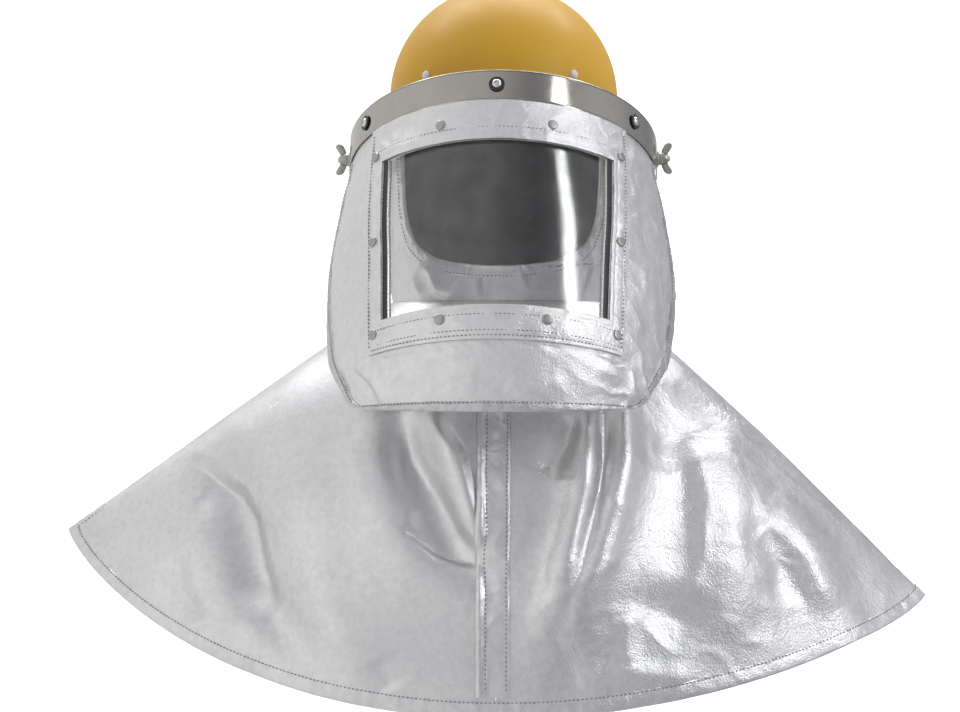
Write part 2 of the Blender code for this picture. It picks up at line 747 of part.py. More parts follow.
def make_band_bolts(steel, dark):
    """A domed bolt in a dark washer, at the band's front and at each side."""
    middle = visor_share(BAND_WIDTH / 2.0)
    bend = VISOR_HALF_WIDTH ** 2 / VISOR_DEPTH
    seat = BAND_HIGH + CLEAR + BAND_WASHER_RADIUS ** 2 / (2.0 * bend)
    hole = BAND_BOLT_RADIUS + CLEAR
    ring = ((0.0, hole), (0.0, BAND_WASHER_RADIUS), (BAND_WASHER_WALL, BAND_WASHER_RADIUS * 0.93),
            (BAND_WASHER_WALL, hole))
    head = head_profile(BOLT_HEAD, BAND_BOLT_HEIGHT, BAND_BOLT_RADIUS)
    for name, sign in (("centre", 0.0),) + SIDES:
        angle = math.radians(BOLT_ANGLE) * sign
        normal = normal_at(visor_at, angle, middle, ANGLE_STEP, STEP)
        origin = visor_at(angle, middle) + normal * seat
        turned("band_washer_" + name, ring, origin, normal, dark, 12, ring=True)
        turned("band_bolt_" + name, head, origin, normal, steel, 12)


# Pivots

def make_bracket(side, sign, paint):
    """A bent plate from the helmet's rim out to the pivot, with a hole for the bolt."""
    inner = RIM_HALF_WIDTH + LIP + CLEAR
    outline = (
        (BRACKET_FACE, -BRACKET_DROP),
        (BRACKET_FACE, BRACKET_SHELF_Z + BRACKET_WALL),
        (inner + BRACKET_WALL, BRACKET_SHELF_Z + BRACKET_WALL),
        (inner + BRACKET_WALL, BRACKET_TOP_Z),
        (inner, BRACKET_TOP_Z),
        (inner, BRACKET_SHELF_Z),
        (BRACKET_FACE - BRACKET_WALL, BRACKET_SHELF_Z),
        (BRACKET_FACE - BRACKET_WALL, -BRACKET_DROP),
    )
    sections = []
    for y in (-BRACKET_HALF_WIDTH, BRACKET_HALF_WIDTH):
        sections.append([Vector((sign * x, y, z)) for x, z in outline])
    bracket = loop_solid("pivot_bracket_" + side, sections, paint)
    cut_pivot_hole(bracket, sign, BRACKET_FACE)


def make_wing_nut(side, sign, foot, paint):
    """A round nut with two flat wings that stand out from it, up and down."""
    body = tuple((row.height * NUT_LENGTH, row.radius * NUT_RADIUS) for row in NUT_BODY)
    profile = ((0.0, PIVOT_HOLE), (0.0, NUT_RADIUS)) + body + ((NUT_LENGTH, PIVOT_HOLE),)
    nut = turned("wing_nut_" + side, profile, (sign * foot, 0.0, 0.0), (sign, 0.0, 0.0), paint, 12,
                 ring=True)
    near = (PIVOT_HOLE + NUT_RADIUS * NUT_BODY[-1].radius) / 2.0
    for number, way in enumerate((-1.0, 1.0)):
        outline = [(foot + NUT_LENGTH * row.out, way * max(WING_SPAN * row.span, near))
                   for row in WING_ROWS]
        sections = []
        for y in (-WING_WALL / 2.0, WING_WALL / 2.0):
            sections.append([Vector((sign * x, y, z)) for x, z in outline])
        wing = loop_solid("wing_%s_%d" % (side, number), sections, paint)
        use_boolean(nut, wing, "UNION")


def make_pivots(paint):
    washer_foot = VISOR_HALF_WIDTH + BAND_HIGH + CLEAR
    nut_foot = washer_foot + PIVOT_WASHER_WALL + CLEAR
    bolt_end = nut_foot + NUT_LENGTH + BOLT_END
    head_top = BRACKET_FACE - BRACKET_WALL - CLEAR
    bolt = ((head_top - PIVOT_HEAD_HEIGHT, 0.0), (head_top - PIVOT_HEAD_HEIGHT, PIVOT_HEAD_RADIUS),
            (head_top, PIVOT_HEAD_RADIUS), (head_top, PIVOT_BOLT_RADIUS),
            (bolt_end, PIVOT_BOLT_RADIUS), (bolt_end, 0.0))
    washer = ((washer_foot, PIVOT_HOLE), (washer_foot, PIVOT_WASHER_RADIUS),
              (washer_foot + PIVOT_WASHER_WALL, PIVOT_WASHER_RADIUS),
              (washer_foot + PIVOT_WASHER_WALL, PIVOT_HOLE))
    for side, sign in SIDES:
        axis = (sign, 0.0, 0.0)
        make_bracket(side, sign, paint)
        turned("pivot_bolt_" + side, bolt, (0.0, 0.0, 0.0), axis, paint, 16)
        turned("pivot_washer_" + side, washer, (0.0, 0.0, 0.0), axis, paint, 14, ring=True)
        make_wing_nut(side, sign, nut_foot, paint)


# Cowl

def face_angle(z):
    """Half the face opening's angle at a level."""
    share = (COWL_TOP_Z - z) / (COWL_TOP_Z - FACE_BOTTOM_Z)
    return math.radians(FACE_HALF_ANGLE) * row_value(FACE_ROWS, "angle", share)


def cowl_at(angle, z):
    """The cowl's surface: inside the helmet at its top, and the neck's ring at its foot."""
    share = (COWL_TOP_Z - z) / (COWL_TOP_Z - NECK_Z)
    top = helmet_scale(COWL_TOP_Z)
    half_width = mix(DOME_RADIUS * top - HELMET_WALL - COWL_FIT, NECK_HALF_WIDTH, smooth(share))
    half_depth = mix(DOME_HALF_LENGTH * top - HELMET_WALL - COWL_FIT, NECK_HALF_DEPTH, smooth(share))
    middle = mix(DOME_Y, NECK_Y, share)
    return Vector((half_width * math.sin(angle), middle - half_depth * math.cos(angle), z))


def cowl_point(u, v):
    """u goes once round, from -1 at the back over 0 at the front; the opening's edge is at 1/4."""
    z = mix(COWL_TOP_Z, NECK_Z, v)
    even = math.radians(NECK_SPREAD)
    below = (FACE_BOTTOM_Z - z) / (FACE_BOTTOM_Z - NECK_Z)
    opening = mix(face_angle(z), even, smooth(below))
    size = abs(u)
    if size <= 0.25:
        angle = opening * size / 0.25
    else:
        angle = mix(opening, math.pi, (size - 0.25) / 0.75)
    return cowl_at(math.copysign(angle, u), z)


def cowl_levels():
    """Places down the cowl: some in the face opening, closer near the chin, and some below."""
    chin = (COWL_TOP_Z - FACE_BOTTOM_Z) / (COWL_TOP_Z - NECK_Z)
    levels = [chin * share for share in FACE_LEVELS]
    return levels + steps(chin, 1.0 - CLEAR / (COWL_TOP_Z - NECK_Z), 3)[1:], len(FACE_LEVELS) - 1


def make_cowl(paint):
    seam = 0.25 + FACE_BINDING_WIDTH / (NECK_HALF_WIDTH * math.pi)
    half = steps(0.0, 0.25, 4) + steps(seam, 1.0, 9)
    us = [-place for place in reversed(half[1:-1])] + half
    vs, chin_row = cowl_levels()

    def skip(column, row):
        after = us[(column + 1) % len(us)]
        across = abs(us[column] + after) / 2.0
        wraps = column == len(us) - 1
        return row < chin_row and across < 0.25 and not wraps

    plate("cowl", cowl_point, us, vs, -CLOTH, 0.0, paint, skip, ring=True)


def cowl_down(angle, down):
    return cowl_at(angle, COWL_TOP_Z - down)


def make_face_binding(paint):
    """The folded edge of the face opening, down one side, under the chin and up the other."""
    vs, chin_row = cowl_levels()
    height = COWL_TOP_Z - NECK_Z
    side = []
    for row in range(1, chin_row + 1):
        angle = face_angle(COWL_TOP_Z - height * vs[row])
        side.append((angle, height * vs[row]))
    edge = [(-angle, down) for angle, down in side] + [(0.0, side[-1][1])] + list(reversed(side))
    inset = []
    for index, (angle, down) in enumerate(edge):
        before = edge[max(index - 1, 0)]
        after = edge[min(index + 1, len(edge) - 1)]
        run = Vector(((after[0] - before[0]) * NECK_HALF_WIDTH, after[1] - before[1]))
        away = Vector((-run.y, run.x)).normalized() * FACE_BINDING_WIDTH
        inset.append((angle + away.x / NECK_HALF_WIDTH, down + away.y))
    binding("face_opening_binding", cowl_down, edge, inset, -CLOTH, 0.0, paint,
            gap=FACE_BINDING_FIT, u_step=ANGLE_STEP)


# Cape

def fold_height(angle, drop):
    """How far the cape's folds lift it off its plain form."""
    side = math.sin(angle)
    folds = FRONT_FOLDS if math.cos(angle) >= 0.0 else BACK_FOLDS
    height = 0.0
    for fold in folds:
        share = (drop - fold.drop) / (fold.end_drop - fold.drop)
        middle = mix(fold.side, fold.end_side, share)
        fade = smooth((drop - fold.drop + FOLD_FADE) / (2.0 * FOLD_FADE))
        if fold.end_drop < 1.0:
            fade *= 1.0 - smooth((drop - fold.end_drop + FOLD_TAIL) / (3.0 * FOLD_TAIL))
        height += fold.height * fade * math.exp(-((side - middle) / fold.half_width) ** 2)
    return height * smooth((1.0 - abs(side)) / FOLD_SIDE_FADE)


def cape_plain(angle, drop):
    """The cape without folds: angle 0 is the front, drop 0 the neck and 1 the hem."""
    side = math.sin(angle)
    front = math.cos(angle)
    left_to_right = 0.5 + 0.5 * side
    back_to_front = 0.5 + 0.5 * front
    reach = mix(LEFT_REACH, RIGHT_REACH, left_to_right)
    depth = mix(BACK_DEPTH, FRONT_DEPTH, back_to_front)
    tip_z = mix(LEFT_TIP_Z, RIGHT_TIP_Z, left_to_right)
    hem_z = mix(BACK_HEM_Z, FRONT_HEM_Z, back_to_front)
    hem = Vector((reach * side, -math.copysign(depth * abs(front) ** CAPE_POINT, front),
                  mix(tip_z, hem_z, abs(front) ** CAPE_HEM_CURVE)))
    neck = Vector((NECK_HALF_WIDTH * side, NECK_Y - NECK_HALF_DEPTH * front, NECK_Z))
    out = 1.0 - max(1.0 - drop, 0.0) ** (1.0 + CHEST_BOW * abs(front))
    fall = drop ** (1.0 + 0.15 * abs(front))
    return Vector((mix(neck.x, hem.x, mix(out, drop, 0.5)), mix(neck.y, hem.y, out),
                   mix(neck.z, hem.z, fall)))


def cape_at(angle, drop):
    drop = min(max(drop, 0.0), 1.0)
    spot = cape_plain(angle, drop)
    ahead = -math.copysign(math.sqrt(abs(math.cos(angle))), math.cos(angle))
    away = Vector((math.sin(angle) * FOLD_ASIDE, ahead, FOLD_UP))
    return spot + away.normalized() * fold_height(angle, drop)


def side_angles(first, last, count, back=False):
    """Angles whose places are even from side to side."""
    angles = []
    for side in steps(first, last, count):
        angle = math.asin(min(max(side, -1.0), 1.0))
        angles.append(math.pi - angle if back else angle)
    return angles


def cape_rows():
    foot = 1.0 - HEM_WIDTH / abs(FRONT_HEM_Z - NECK_Z)
    return steps(0.0, foot, CAPE_ROWS) + [1.0]


def make_cape(paint):
    drops = cape_rows()
    panels = (
        ("cape_front_left", side_angles(-1.0, 0.0, FRONT_COLUMNS), (-SEAM_CLEAR, -SEAM_CLEAR, 0.0)),
        ("cape_front_right", side_angles(0.0, 1.0, FRONT_COLUMNS), (SEAM_CLEAR, -SEAM_CLEAR, 0.0)),
        ("cape_back", side_angles(1.0, -1.0, BACK_COLUMNS, back=True), (0.0, SEAM_CLEAR, 0.0)),
    )
    for name, angles, shift in panels:
        plate(name, cape_at, angles, drops, -CLOTH, 0.0, paint, shift=shift, u_step=ANGLE_STEP,
              v_step=0.02)


def make_hem(paint):
    angles = side_angles(-1.0, 1.0, 2 * FRONT_COLUMNS)
    angles += side_angles(1.0, -1.0, BACK_COLUMNS, back=True)[1:-1]
    edge = [(angle, 1.0) for angle in angles]
    inner = [(angle, cape_rows()[-2]) for angle in angles]
    binding("cape_hem", cape_at, edge, inner, -CLOTH, 0.0, paint, closed=True,
            gap=CLEAR + 2.0 * SEAM_CLEAR, u_step=ANGLE_STEP, v_step=0.02)


def placket_point(u, v):
    """u is the distance in metres to the right of the middle, between the cape's columns there."""
    middle = cape_at(0.0, v)
    beside = cape_at(math.copysign(math.asin(1.0 / FRONT_COLUMNS), u), v)
    return middle.lerp(beside, abs(u) / abs(beside.x))


def make_placket(paint):
    """The strip that covers the front closing, from under the shield down to the hem."""
    low = PLACKET_FIT
    rows = [v for v in cape_rows()[:-1] if v > PLACKET_TOP]
    rows[-1] -= 4.0 * CLEAR / abs(FRONT_HEM_Z - NECK_Z)
    us = [PLACKET_LEFT, 0.0, PLACKET_RIGHT]
    plate("front_placket", placket_point, us, rows, low, low + CLOTH, paint, v_step=0.02)


def build():
    clear_scene()
    foil = foil_material()
    tape = tape_material()
    bright = bolt_material()
    dark = dark_material()
    make_helmet()
    make_studs()
    make_pivots(bright)
    make_cowl(foil)
    make_face_binding(tape)
    make_cape(foil)
    make_hem(tape)
    make_placket(foil)
    make_band()
    make_band_bolts(bright, dark)
    make_surround(foil)
    make_frame(foil)
    make_surround_binding(tape)
    make_rivets(bright)
    make_lens(lens_material())
    make_channels(dark)


build()
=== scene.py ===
import itertools
import math
from collections import namedtuple

import bmesh
import bpy
import numpy as np
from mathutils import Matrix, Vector


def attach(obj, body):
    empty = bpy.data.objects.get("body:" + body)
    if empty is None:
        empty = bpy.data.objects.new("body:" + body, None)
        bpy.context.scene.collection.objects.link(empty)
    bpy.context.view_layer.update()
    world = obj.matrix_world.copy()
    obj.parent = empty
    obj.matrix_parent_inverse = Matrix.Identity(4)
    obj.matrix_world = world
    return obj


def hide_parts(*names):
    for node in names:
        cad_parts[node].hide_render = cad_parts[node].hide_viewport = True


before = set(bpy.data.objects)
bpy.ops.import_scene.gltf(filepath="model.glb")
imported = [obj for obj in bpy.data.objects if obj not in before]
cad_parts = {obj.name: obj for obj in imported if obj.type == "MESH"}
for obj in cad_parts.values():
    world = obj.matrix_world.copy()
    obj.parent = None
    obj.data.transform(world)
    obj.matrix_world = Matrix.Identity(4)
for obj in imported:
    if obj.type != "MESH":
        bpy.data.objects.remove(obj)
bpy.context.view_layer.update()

# Camera: it stands level, a little to the right of the hood's middle
PIXEL = 0.00094           # metres on the pivots' plane for each pixel of the 960 wide picture
PICTURE_WIDTH = 960
CAMERA_AWAY = 2.2
CAMERA_AZIMUTH = 2.6
CAMERA_Z = -0.185
MIDDLE_PIXEL = 503.5      # where the hood's middle lies across the picture
TURN = math.radians(CAMERA_AZIMUTH)
ASIDE = (MIDDLE_PIXEL - PICTURE_WIDTH / 2.0) * PIXEL

# The hood's sizes in metres, as they were built
DOME_RADIUS = 0.107
DOME_HALF_LENGTH = 0.125
DOME_Y = 0.005
DOME_Z = 0.056
HELMET_WALL = 0.0025
RIM_HALF_WIDTH = 0.1095
RIM_SIDE_Z = 0.015
RIM_FRONT_Z = 0.040
LIP = 0.0025
PEAK = 0.012
PEAK_FALL = 0.003
VISOR_TOP_Z = 0.064
VISOR_TOP_Y = -0.158
VISOR_HEIGHT = 0.295
VISOR_LEAN = 0.094
VISOR_HALF_WIDTH = 0.142
VISOR_DEPTH = 0.160
VISOR_SIDE_DROP = 0.054
WINDOW_DROP = 0.062
WINDOW_HEIGHT = 0.144
FRAME_FOOT = 0.029
BAND_WIDTH = 0.027
EAR_REACH = 0.013
NECK_HALF_WIDTH = 0.105
NECK_HALF_DEPTH = 0.096
NECK_Y = 0.004
NECK_Z = -0.135
COWL_TOP_Z = 0.030
FACE_BOTTOM_Z = -0.104
FACE_HALF_ANGLE = 60.0
LEFT_REACH = 0.412
LEFT_TIP_Z = -0.349
RIGHT_REACH = 0.393
RIGHT_TIP_Z = -0.407
FRONT_DEPTH = 0.190
FRONT_HEM_Z = -0.496
BACK_DEPTH = 0.215
BACK_HEM_Z = -0.485
CAPE_POINT = 1.9
CAPE_HEM_CURVE = 1.5
CHEST_BOW = 1.3
HEM_WIDTH = 0.013
PLACKET_LEFT = -0.018
PLACKET_RIGHT = 0.012
PLACKET_TOP = 0.10

# Walls of the cloth and the band, and the play between hard pieces
CLOTH = 0.0013
BAND_SEAT = 0.0007
BAND_WALL = 0.0012
PLAY = 0.0003

# Shares across the shield, from its middle, where the window and its frame end
WINDOW_U = 0.50
FRAME_U = 0.62
SIDES = (("left", -1.0), ("right", 1.0))

# Rows down the shield, as shares of its sizes, and angles in degrees from the front
VisorRow = namedtuple("VisorRow", "down lean width side_drop window frame edge")
VISOR_ROWS = [
    VisorRow(0.000, 0.000, 1.000, 1.00, 45.3, 52.0, 80.0),
    VisorRow(0.100, 0.126, 1.000, 1.07, 45.0, 51.7, 80.3),
    VisorRow(0.210, 0.266, 1.050, 1.15, 42.3, 49.0, 81.0),
    VisorRow(0.454, 0.574, 1.113, 1.15, 38.8, 45.2, 85.0),
    VisorRow(0.698, 0.883, 1.106, 1.15, 37.7, 44.2, 74.0),
    VisorRow(0.797, 0.960, 1.099, 0.96, 37.2, 43.7, 67.0),
    VisorRow(0.900, 0.990, 1.090, 0.45, 36.6, 42.9, 61.0),
    VisorRow(0.965, 0.998, 1.083, 0.33, 35.6, 41.0, 54.0),
    VisorRow(1.000, 1.000, 1.080, 0.00, 33.5, 38.0, 45.0),
]

# Rows down the face opening: share of its height, share of its half angle
FaceRow = namedtuple("FaceRow", "down angle")
FACE_ROWS = [
    FaceRow(0.00, 1.00),
    FaceRow(0.55, 0.97),
    FaceRow(0.80, 0.84),
    FaceRow(0.92, 0.64),
    FaceRow(0.98, 0.38),
    FaceRow(1.00, 0.12),
]

# Main folds of the cape: shares across and down at both ends, half width as a share, height in metres
Fold = namedtuple("Fold", "name side drop end_side end_drop half_width height")
FRONT_FOLDS = [
    Fold("left shoulder valley", -0.77, 0.58, -0.46, 0.90, 0.09, -0.013),
    Fold("left outer ridge", -0.60, 0.48, -0.36, 0.92, 0.10, 0.005),
    Fold("left chest valley", -0.34, 0.34, -0.06, 0.68, 0.08, -0.012),
    Fold("left chest ridge", -0.22, 0.30, -0.04, 0.64, 0.05, 0.007),
    Fold("right chest ridge", 0.34, 0.28, 0.13, 0.80, 0.05, 0.010),
    Fold("right chest valley", 0.40, 0.30, 0.17, 0.78, 0.04, -0.006),
    Fold("right outer ridge", 0.49, 0.28, 0.19, 0.80, 0.06, 0.011),
    Fold("right shoulder valley", 0.62, 0.34, 0.44, 0.82, 0.11, -0.012),
    Fold("right shoulder ridge", 0.76, 0.45, 0.56, 0.82, 0.09, 0.009),
    Fold("right hem ridge", 0.79, 0.58, 0.80, 1.00, 0.07, 0.008),
]
BACK_FOLDS = [
    Fold("back left valley", -0.60, 0.30, -0.45, 1.00, 0.11, -0.012),
    Fold("back left ridge", -0.30, 0.25, -0.20, 1.00, 0.10, 0.011),
    Fold("back right valley", 0.25, 0.30, 0.18, 1.00, 0.10, -0.010),
    Fold("back right ridge", 0.55, 0.30, 0.48, 1.00, 0.11, 0.012),
]


def mix(first, last, share):
    return first + (last - first) * share


def smooth(share):
    share = np.clip(share, 0.0, 1.0)
    return share * share * (3.0 - 2.0 * share)


def bump_at(value, middle, half_width):
    """A soft bump of height 1 at the middle."""
    return np.exp(-((value - middle) / half_width) ** 2)


def row_value(rows, column, place):
    """A column of a table at a place of its first column, on a smooth curve through the rows."""
    places = [row[0] for row in rows]
    values = [getattr(row, column) for row in rows]
    index = sum(place > mark for mark in places[1:-1])
    span = places[index + 1] - places[index]
    slopes = []
    for at in (index, index + 1):
        before = max(at - 1, 0)
        after = min(at + 1, len(rows) - 1)
        slope = (values[after] - values[before]) / (places[after] - places[before]) * span
        turns = (values[after] - values[at]) * (values[at] - values[before]) <= 0.0
        slopes.append(0.0 if turns and before < at < after else slope)
    share = (place - places[index]) / span
    rise = values[index + 1] - values[index]
    curve = 2.0 * rise - slopes[0] - slopes[1]
    bend = 3.0 * rise - 2.0 * slopes[0] - slopes[1]
    return values[index] + share * slopes[0] - share ** 3 * curve + share * share * bend


def curve_of(rows, column):
    """The same curve for arrays of places."""
    places = np.linspace(0.0, 1.0, 801)
    values = np.array([row_value(rows, column, place) for place in places])
    return lambda place: np.interp(place, places, values)


VISOR = {name: curve_of(VISOR_ROWS, name) for name in VisorRow._fields[1:]}
FACE = curve_of(FACE_ROWS, "angle")


# Noise

def noise(points, seed=0):
    """Smooth noise, about -0.7 to 0.7, at an array of points."""
    cell = np.floor(points).astype(np.int64)
    part = points - cell
    fade = part ** 3 * (part * (part * 6.0 - 15.0) + 10.0)
    total = np.zeros(points.shape[:-1])
    for corner in itertools.product((0, 1), repeat=3):
        at = cell + np.array(corner)
        key = (at[..., 0] * 374761393 + at[..., 1] * 668265263 + at[..., 2] * 974634777
               + seed * 144665) & 0xFFFFFFFF
        key = ((key ^ (key >> 13)) * 1274126177) & 0xFFFFFFFF
        key = key ^ (key >> 16)
        lean = np.stack([((key >> shift) & 255) / 127.5 - 1.0 for shift in (0, 8, 16)], -1)
        weight = np.prod(np.where(corner, fade, 1.0 - fade), -1)
        total += np.sum(lean * (part - corner), -1) * weight
    return total


def creases(points, size, seed):
    """Sharp crossing creases, 0 in the flats and up to about 1 along the creases."""
    shift = np.stack([noise(points / (size * 1.7), seed + k) for k in (1, 2, 3)], -1)
    bent = points / size + shift * 0.9
    return np.clip(1.0 - np.abs(noise(bent, seed)) * 3.2, 0.0, 1.0) ** 2


# Meshes

def unit(vectors):
    return vectors / np.maximum(np.linalg.norm(vectors, axis=-1, keepdims=True), 1e-12)


def normals_of(grid, ring=False):
    """Outward normals of a grid of points whose rows run down and whose columns run right."""
    if ring:
        across = np.roll(grid, -1, 1) - np.roll(grid, 1, 1)
    else:
        across = np.gradient(grid, axis=1)
    down = np.gradient(grid, axis=0)
    return unit(np.cross(down, across))


def make_object(name, points, faces, paint, sharp=None):
    mesh = bpy.data.meshes.new(name)
    mesh.from_pydata(points.reshape(-1, 3).tolist(), [], faces)
    mesh.validate()
    mesh.update()
    mesh.shade_smooth()
    if sharp:
        mesh.set_sharp_from_angle(angle=math.radians(sharp))
    mesh.materials.append(paint)
    made = bpy.data.objects.new(name, mesh)
    bpy.context.scene.collection.objects.link(made)
    return made


def sheet(name, outer, wall, paint, there=None, ring=False, inside=None):
    """A sheet of cloth with a wall: a grid of points, and the cells of it that there are."""
    rows, columns = outer.shape[:2]
    inner = outer - normals_of(outer, ring) * wall
    wide = columns if ring else columns - 1
    there = np.ones((rows - 1, wide), bool) if there is None else there
    index = np.arange(rows * columns).reshape(rows, columns)
    if ring:
        index = np.concatenate([index, index[:, :1]], 1)
    under = index + rows * columns
    a, b, c, d = index[:-1, :-1], index[1:, :-1], index[1:, 1:], index[:-1, 1:]
    e, f, g, h = under[:-1, :-1], under[1:, :-1], under[1:, 1:], under[:-1, 1:]
    above = np.pad(there[:-1], ((1, 0), (0, 0)))
    below = np.pad(there[1:], ((0, 1), (0, 0)))
    before = np.roll(there, 1, 1) if ring else np.pad(there[:, :-1], ((0, 0), (1, 0)))
    after = np.roll(there, -1, 1) if ring else np.pad(there[:, 1:], ((0, 0), (0, 1)))
    parts = [
        ((a, b, c, d), there),
        ((e, h, g, f), there),
        ((d, h, e, a), there & ~above),
        ((b, f, g, c), there & ~below),
        ((a, e, f, b), there & ~before),
        ((c, g, h, d), there & ~after),
    ]
    faces, slots = [], []
    for number, (corners, mask) in enumerate(parts):
        faces += np.stack([corner[mask] for corner in corners], -1).tolist()
        slots += [1 if number == 1 and inside else 0] * int(mask.sum())
    points = np.concatenate([outer.reshape(-1, 3), inner.reshape(-1, 3)])
    used = np.zeros(len(points), bool)
    used[np.array(faces).ravel()] = True
    renumber = np.cumsum(used) - 1
    made = make_object(name, points[used], renumber[np.array(faces)].tolist(), paint, 60.0)
    if inside:
        made.data.materials.append(inside)
        made.data.polygons.foreach_set("material_index", slots)
    return made


def loft(name, sections, paint, closed=False, sharp=40.0):
    """A bar or ring through sections, each a closed line of as many points."""
    count, corners = sections.shape[:2]
    index = np.arange(count * corners).reshape(count, corners)
    last = count if closed else count - 1
    here = index[:last]
    there = np.roll(index, -1, 0)[:last]
    quads = np.stack([here, np.roll(here, -1, 1), np.roll(there, -1, 1), there], -1)
    faces = quads.reshape(-1, 4).tolist()
    if not closed:
        faces += [index[0][::-1].tolist(), index[-1].tolist()]
    made = make_object(name, sections, faces, paint, sharp)
    face_out(made)
    return made


def face_out(made):
    mesh = bmesh.new()
    mesh.from_mesh(made.data)
    bmesh.ops.recalc_face_normals(mesh, faces=mesh.faces)
    mesh.to_mesh(made.data)
    mesh.free()


def spun(name, profile, origin, axis, paint, sides=40, ring=False, sharp=35.0):
    """A profile of (height, radius) points turned about an axis."""
    turn = np.array(Vector(axis).normalized().to_track_quat("Z", "Y").to_matrix())
    angles = np.linspace(0.0, math.tau, sides, endpoint=False)
    sections = []
    for height, radius in profile:
        radius = max(radius, 1e-5)
        line = np.stack([radius * np.cos(angles), radius * np.sin(angles),
                         np.full(sides, height)], -1)
        sections.append(line @ turn.T + np.array(origin))
    return loft(name, np.array(sections), paint, closed=ring, sharp=sharp)


# Surfaces of the built hood

def visor_angle(u, v):
    size = np.abs(u)
    window, edge_of_frame, edge = VISOR["window"](v), VISOR["frame"](v), VISOR["edge"](v)
    inside = window * size / WINDOW_U
    strip = mix(window, edge_of_frame, (size - WINDOW_U) / (FRAME_U - WINDOW_U))
    outside = mix(edge_of_frame, edge, (size - FRAME_U) / (1.0 - FRAME_U))
    angle = np.where(size <= WINDOW_U, inside, np.where(size <= FRAME_U, strip, outside))
    return np.radians(angle) * np.sign(u)


def visor_at(angle, v):
    half_width = VISOR_HALF_WIDTH * VISOR["width"](v)
    side_drop = VISOR_SIDE_DROP * VISOR["side_drop"](v)
    front = VISOR_TOP_Y - VISOR_LEAN * VISOR["lean"](v)
    back = 1.0 - np.cos(angle)
    return np.stack([half_width * np.sin(angle), front + VISOR_DEPTH * back,
                     VISOR_TOP_Z - VISOR_HEIGHT * v - side_drop * back], -1)


def visor_on(u, v):
    return visor_at(visor_angle(u, v), v)


def surface_line(surface, across, down, step_across=0.004, step_down=0.004):
    """Points of a surface and its outward normals there."""
    right = surface(across + step_across, down) - surface(across - step_across, down)
    lower = surface(across, down + step_down) - surface(across, down - step_down)
    return surface(across, down), unit(np.cross(lower, right))


def helmet_scale(z):
    above = np.sqrt(np.maximum(1.0 - ((z - DOME_Z) / DOME_RADIUS) ** 2, 0.0))
    flare = RIM_HALF_WIDTH / DOME_RADIUS - 1.0
    below = 1.0 + flare * ((DOME_Z - z) / (DOME_Z - RIM_SIDE_Z))
    return np.where(z >= DOME_Z, above, below)


def face_angle(z):
    share = (COWL_TOP_Z - z) / (COWL_TOP_Z - FACE_BOTTOM_Z)
    return np.radians(FACE_HALF_ANGLE) * FACE(np.clip(share, 0.0, 1.0))


COWL_TOP_FIT = HELMET_WALL + 0.0012


def cowl_at(angle, z):
    share = (COWL_TOP_Z - z) / (COWL_TOP_Z - NECK_Z)
    top = float(helmet_scale(np.array(COWL_TOP_Z)))
    half_width = mix(DOME_RADIUS * top - COWL_TOP_FIT, NECK_HALF_WIDTH, smooth(share))
    half_depth = mix(DOME_HALF_LENGTH * top - COWL_TOP_FIT, NECK_HALF_DEPTH, smooth(share))
    middle = mix(DOME_Y, NECK_Y, share)
    return np.stack([half_width * np.sin(angle), middle - half_depth * np.cos(angle),
                     z + 0.0 * angle], -1)


def cape_plain(angle, drop):
    side, front = np.sin(angle), np.cos(angle)
    left_to_right, back_to_front = 0.5 + 0.5 * side, 0.5 + 0.5 * front
    reach = mix(LEFT_REACH, RIGHT_REACH, left_to_right)
    depth = mix(BACK_DEPTH, FRONT_DEPTH, back_to_front)
    tip_z = mix(LEFT_TIP_Z, RIGHT_TIP_Z, left_to_right)
    hem_z = mix(BACK_HEM_Z, FRONT_HEM_Z, back_to_front)
    hem_y = -np.sign(front) * depth * np.abs(front) ** CAPE_POINT
    out = 1.0 - np.maximum(1.0 - drop, 0.0) ** (1.0 + CHEST_BOW * np.abs(front))
    fall = drop ** (1.0 + 0.15 * np.abs(front))
    x = mix(NECK_HALF_WIDTH * side, reach * side, mix(out, drop, 0.5))
    y = mix(NECK_Y - NECK_HALF_DEPTH * front, hem_y, out)
    z = mix(NECK_Z, mix(tip_z, hem_z, np.abs(front) ** CAPE_HEM_CURVE), fall)
    return np.stack([x, y, z], -1)


def fold_height(folds, side, drop):
    height = 0.0 * side
    for fold in folds:
        share = (drop - fold.drop) / (fold.end_drop - fold.drop)
        middle = mix(fold.side, fold.end_side, share)
        fade = smooth((drop - fold.drop + 0.12) / 0.24)
        if fold.end_drop < 1.0:
            fade = fade * (1.0 - smooth((drop - fold.end_drop + 0.06) / 0.18))
        height = height + fold.height * fade * bump_at(side, middle, fold.half_width)
    return height


def cape_at(angle, drop):
    side, front = np.sin(angle), np.cos(angle)
    height = np.where(front >= 0.0, fold_height(FRONT_FOLDS, side, drop),
                      fold_height(BACK_FOLDS, side, drop))
    height = height * smooth((1.0 - np.abs(side)) / 0.12)
    away = np.stack([side * 0.45, -np.sign(front) * np.abs(front) ** 0.5, 0.35 + 0.0 * side], -1)
    return cape_plain(angle, drop) + unit(away) * height[..., None]


# Materials

def add_node(tree, kind, output, inputs, **settings):
    """The output of a new node whose inputs are values or the outputs of other nodes."""
    node = tree.nodes.new("ShaderNode" + kind)
    for name, value in settings.items():
        setattr(node, name, value)
    for socket, value in inputs.items():
        if isinstance(value, bpy.types.NodeSocket):
            tree.links.new(value, node.inputs[socket])
        else:
            node.inputs[socket].default_value = value
    return node.outputs[output]


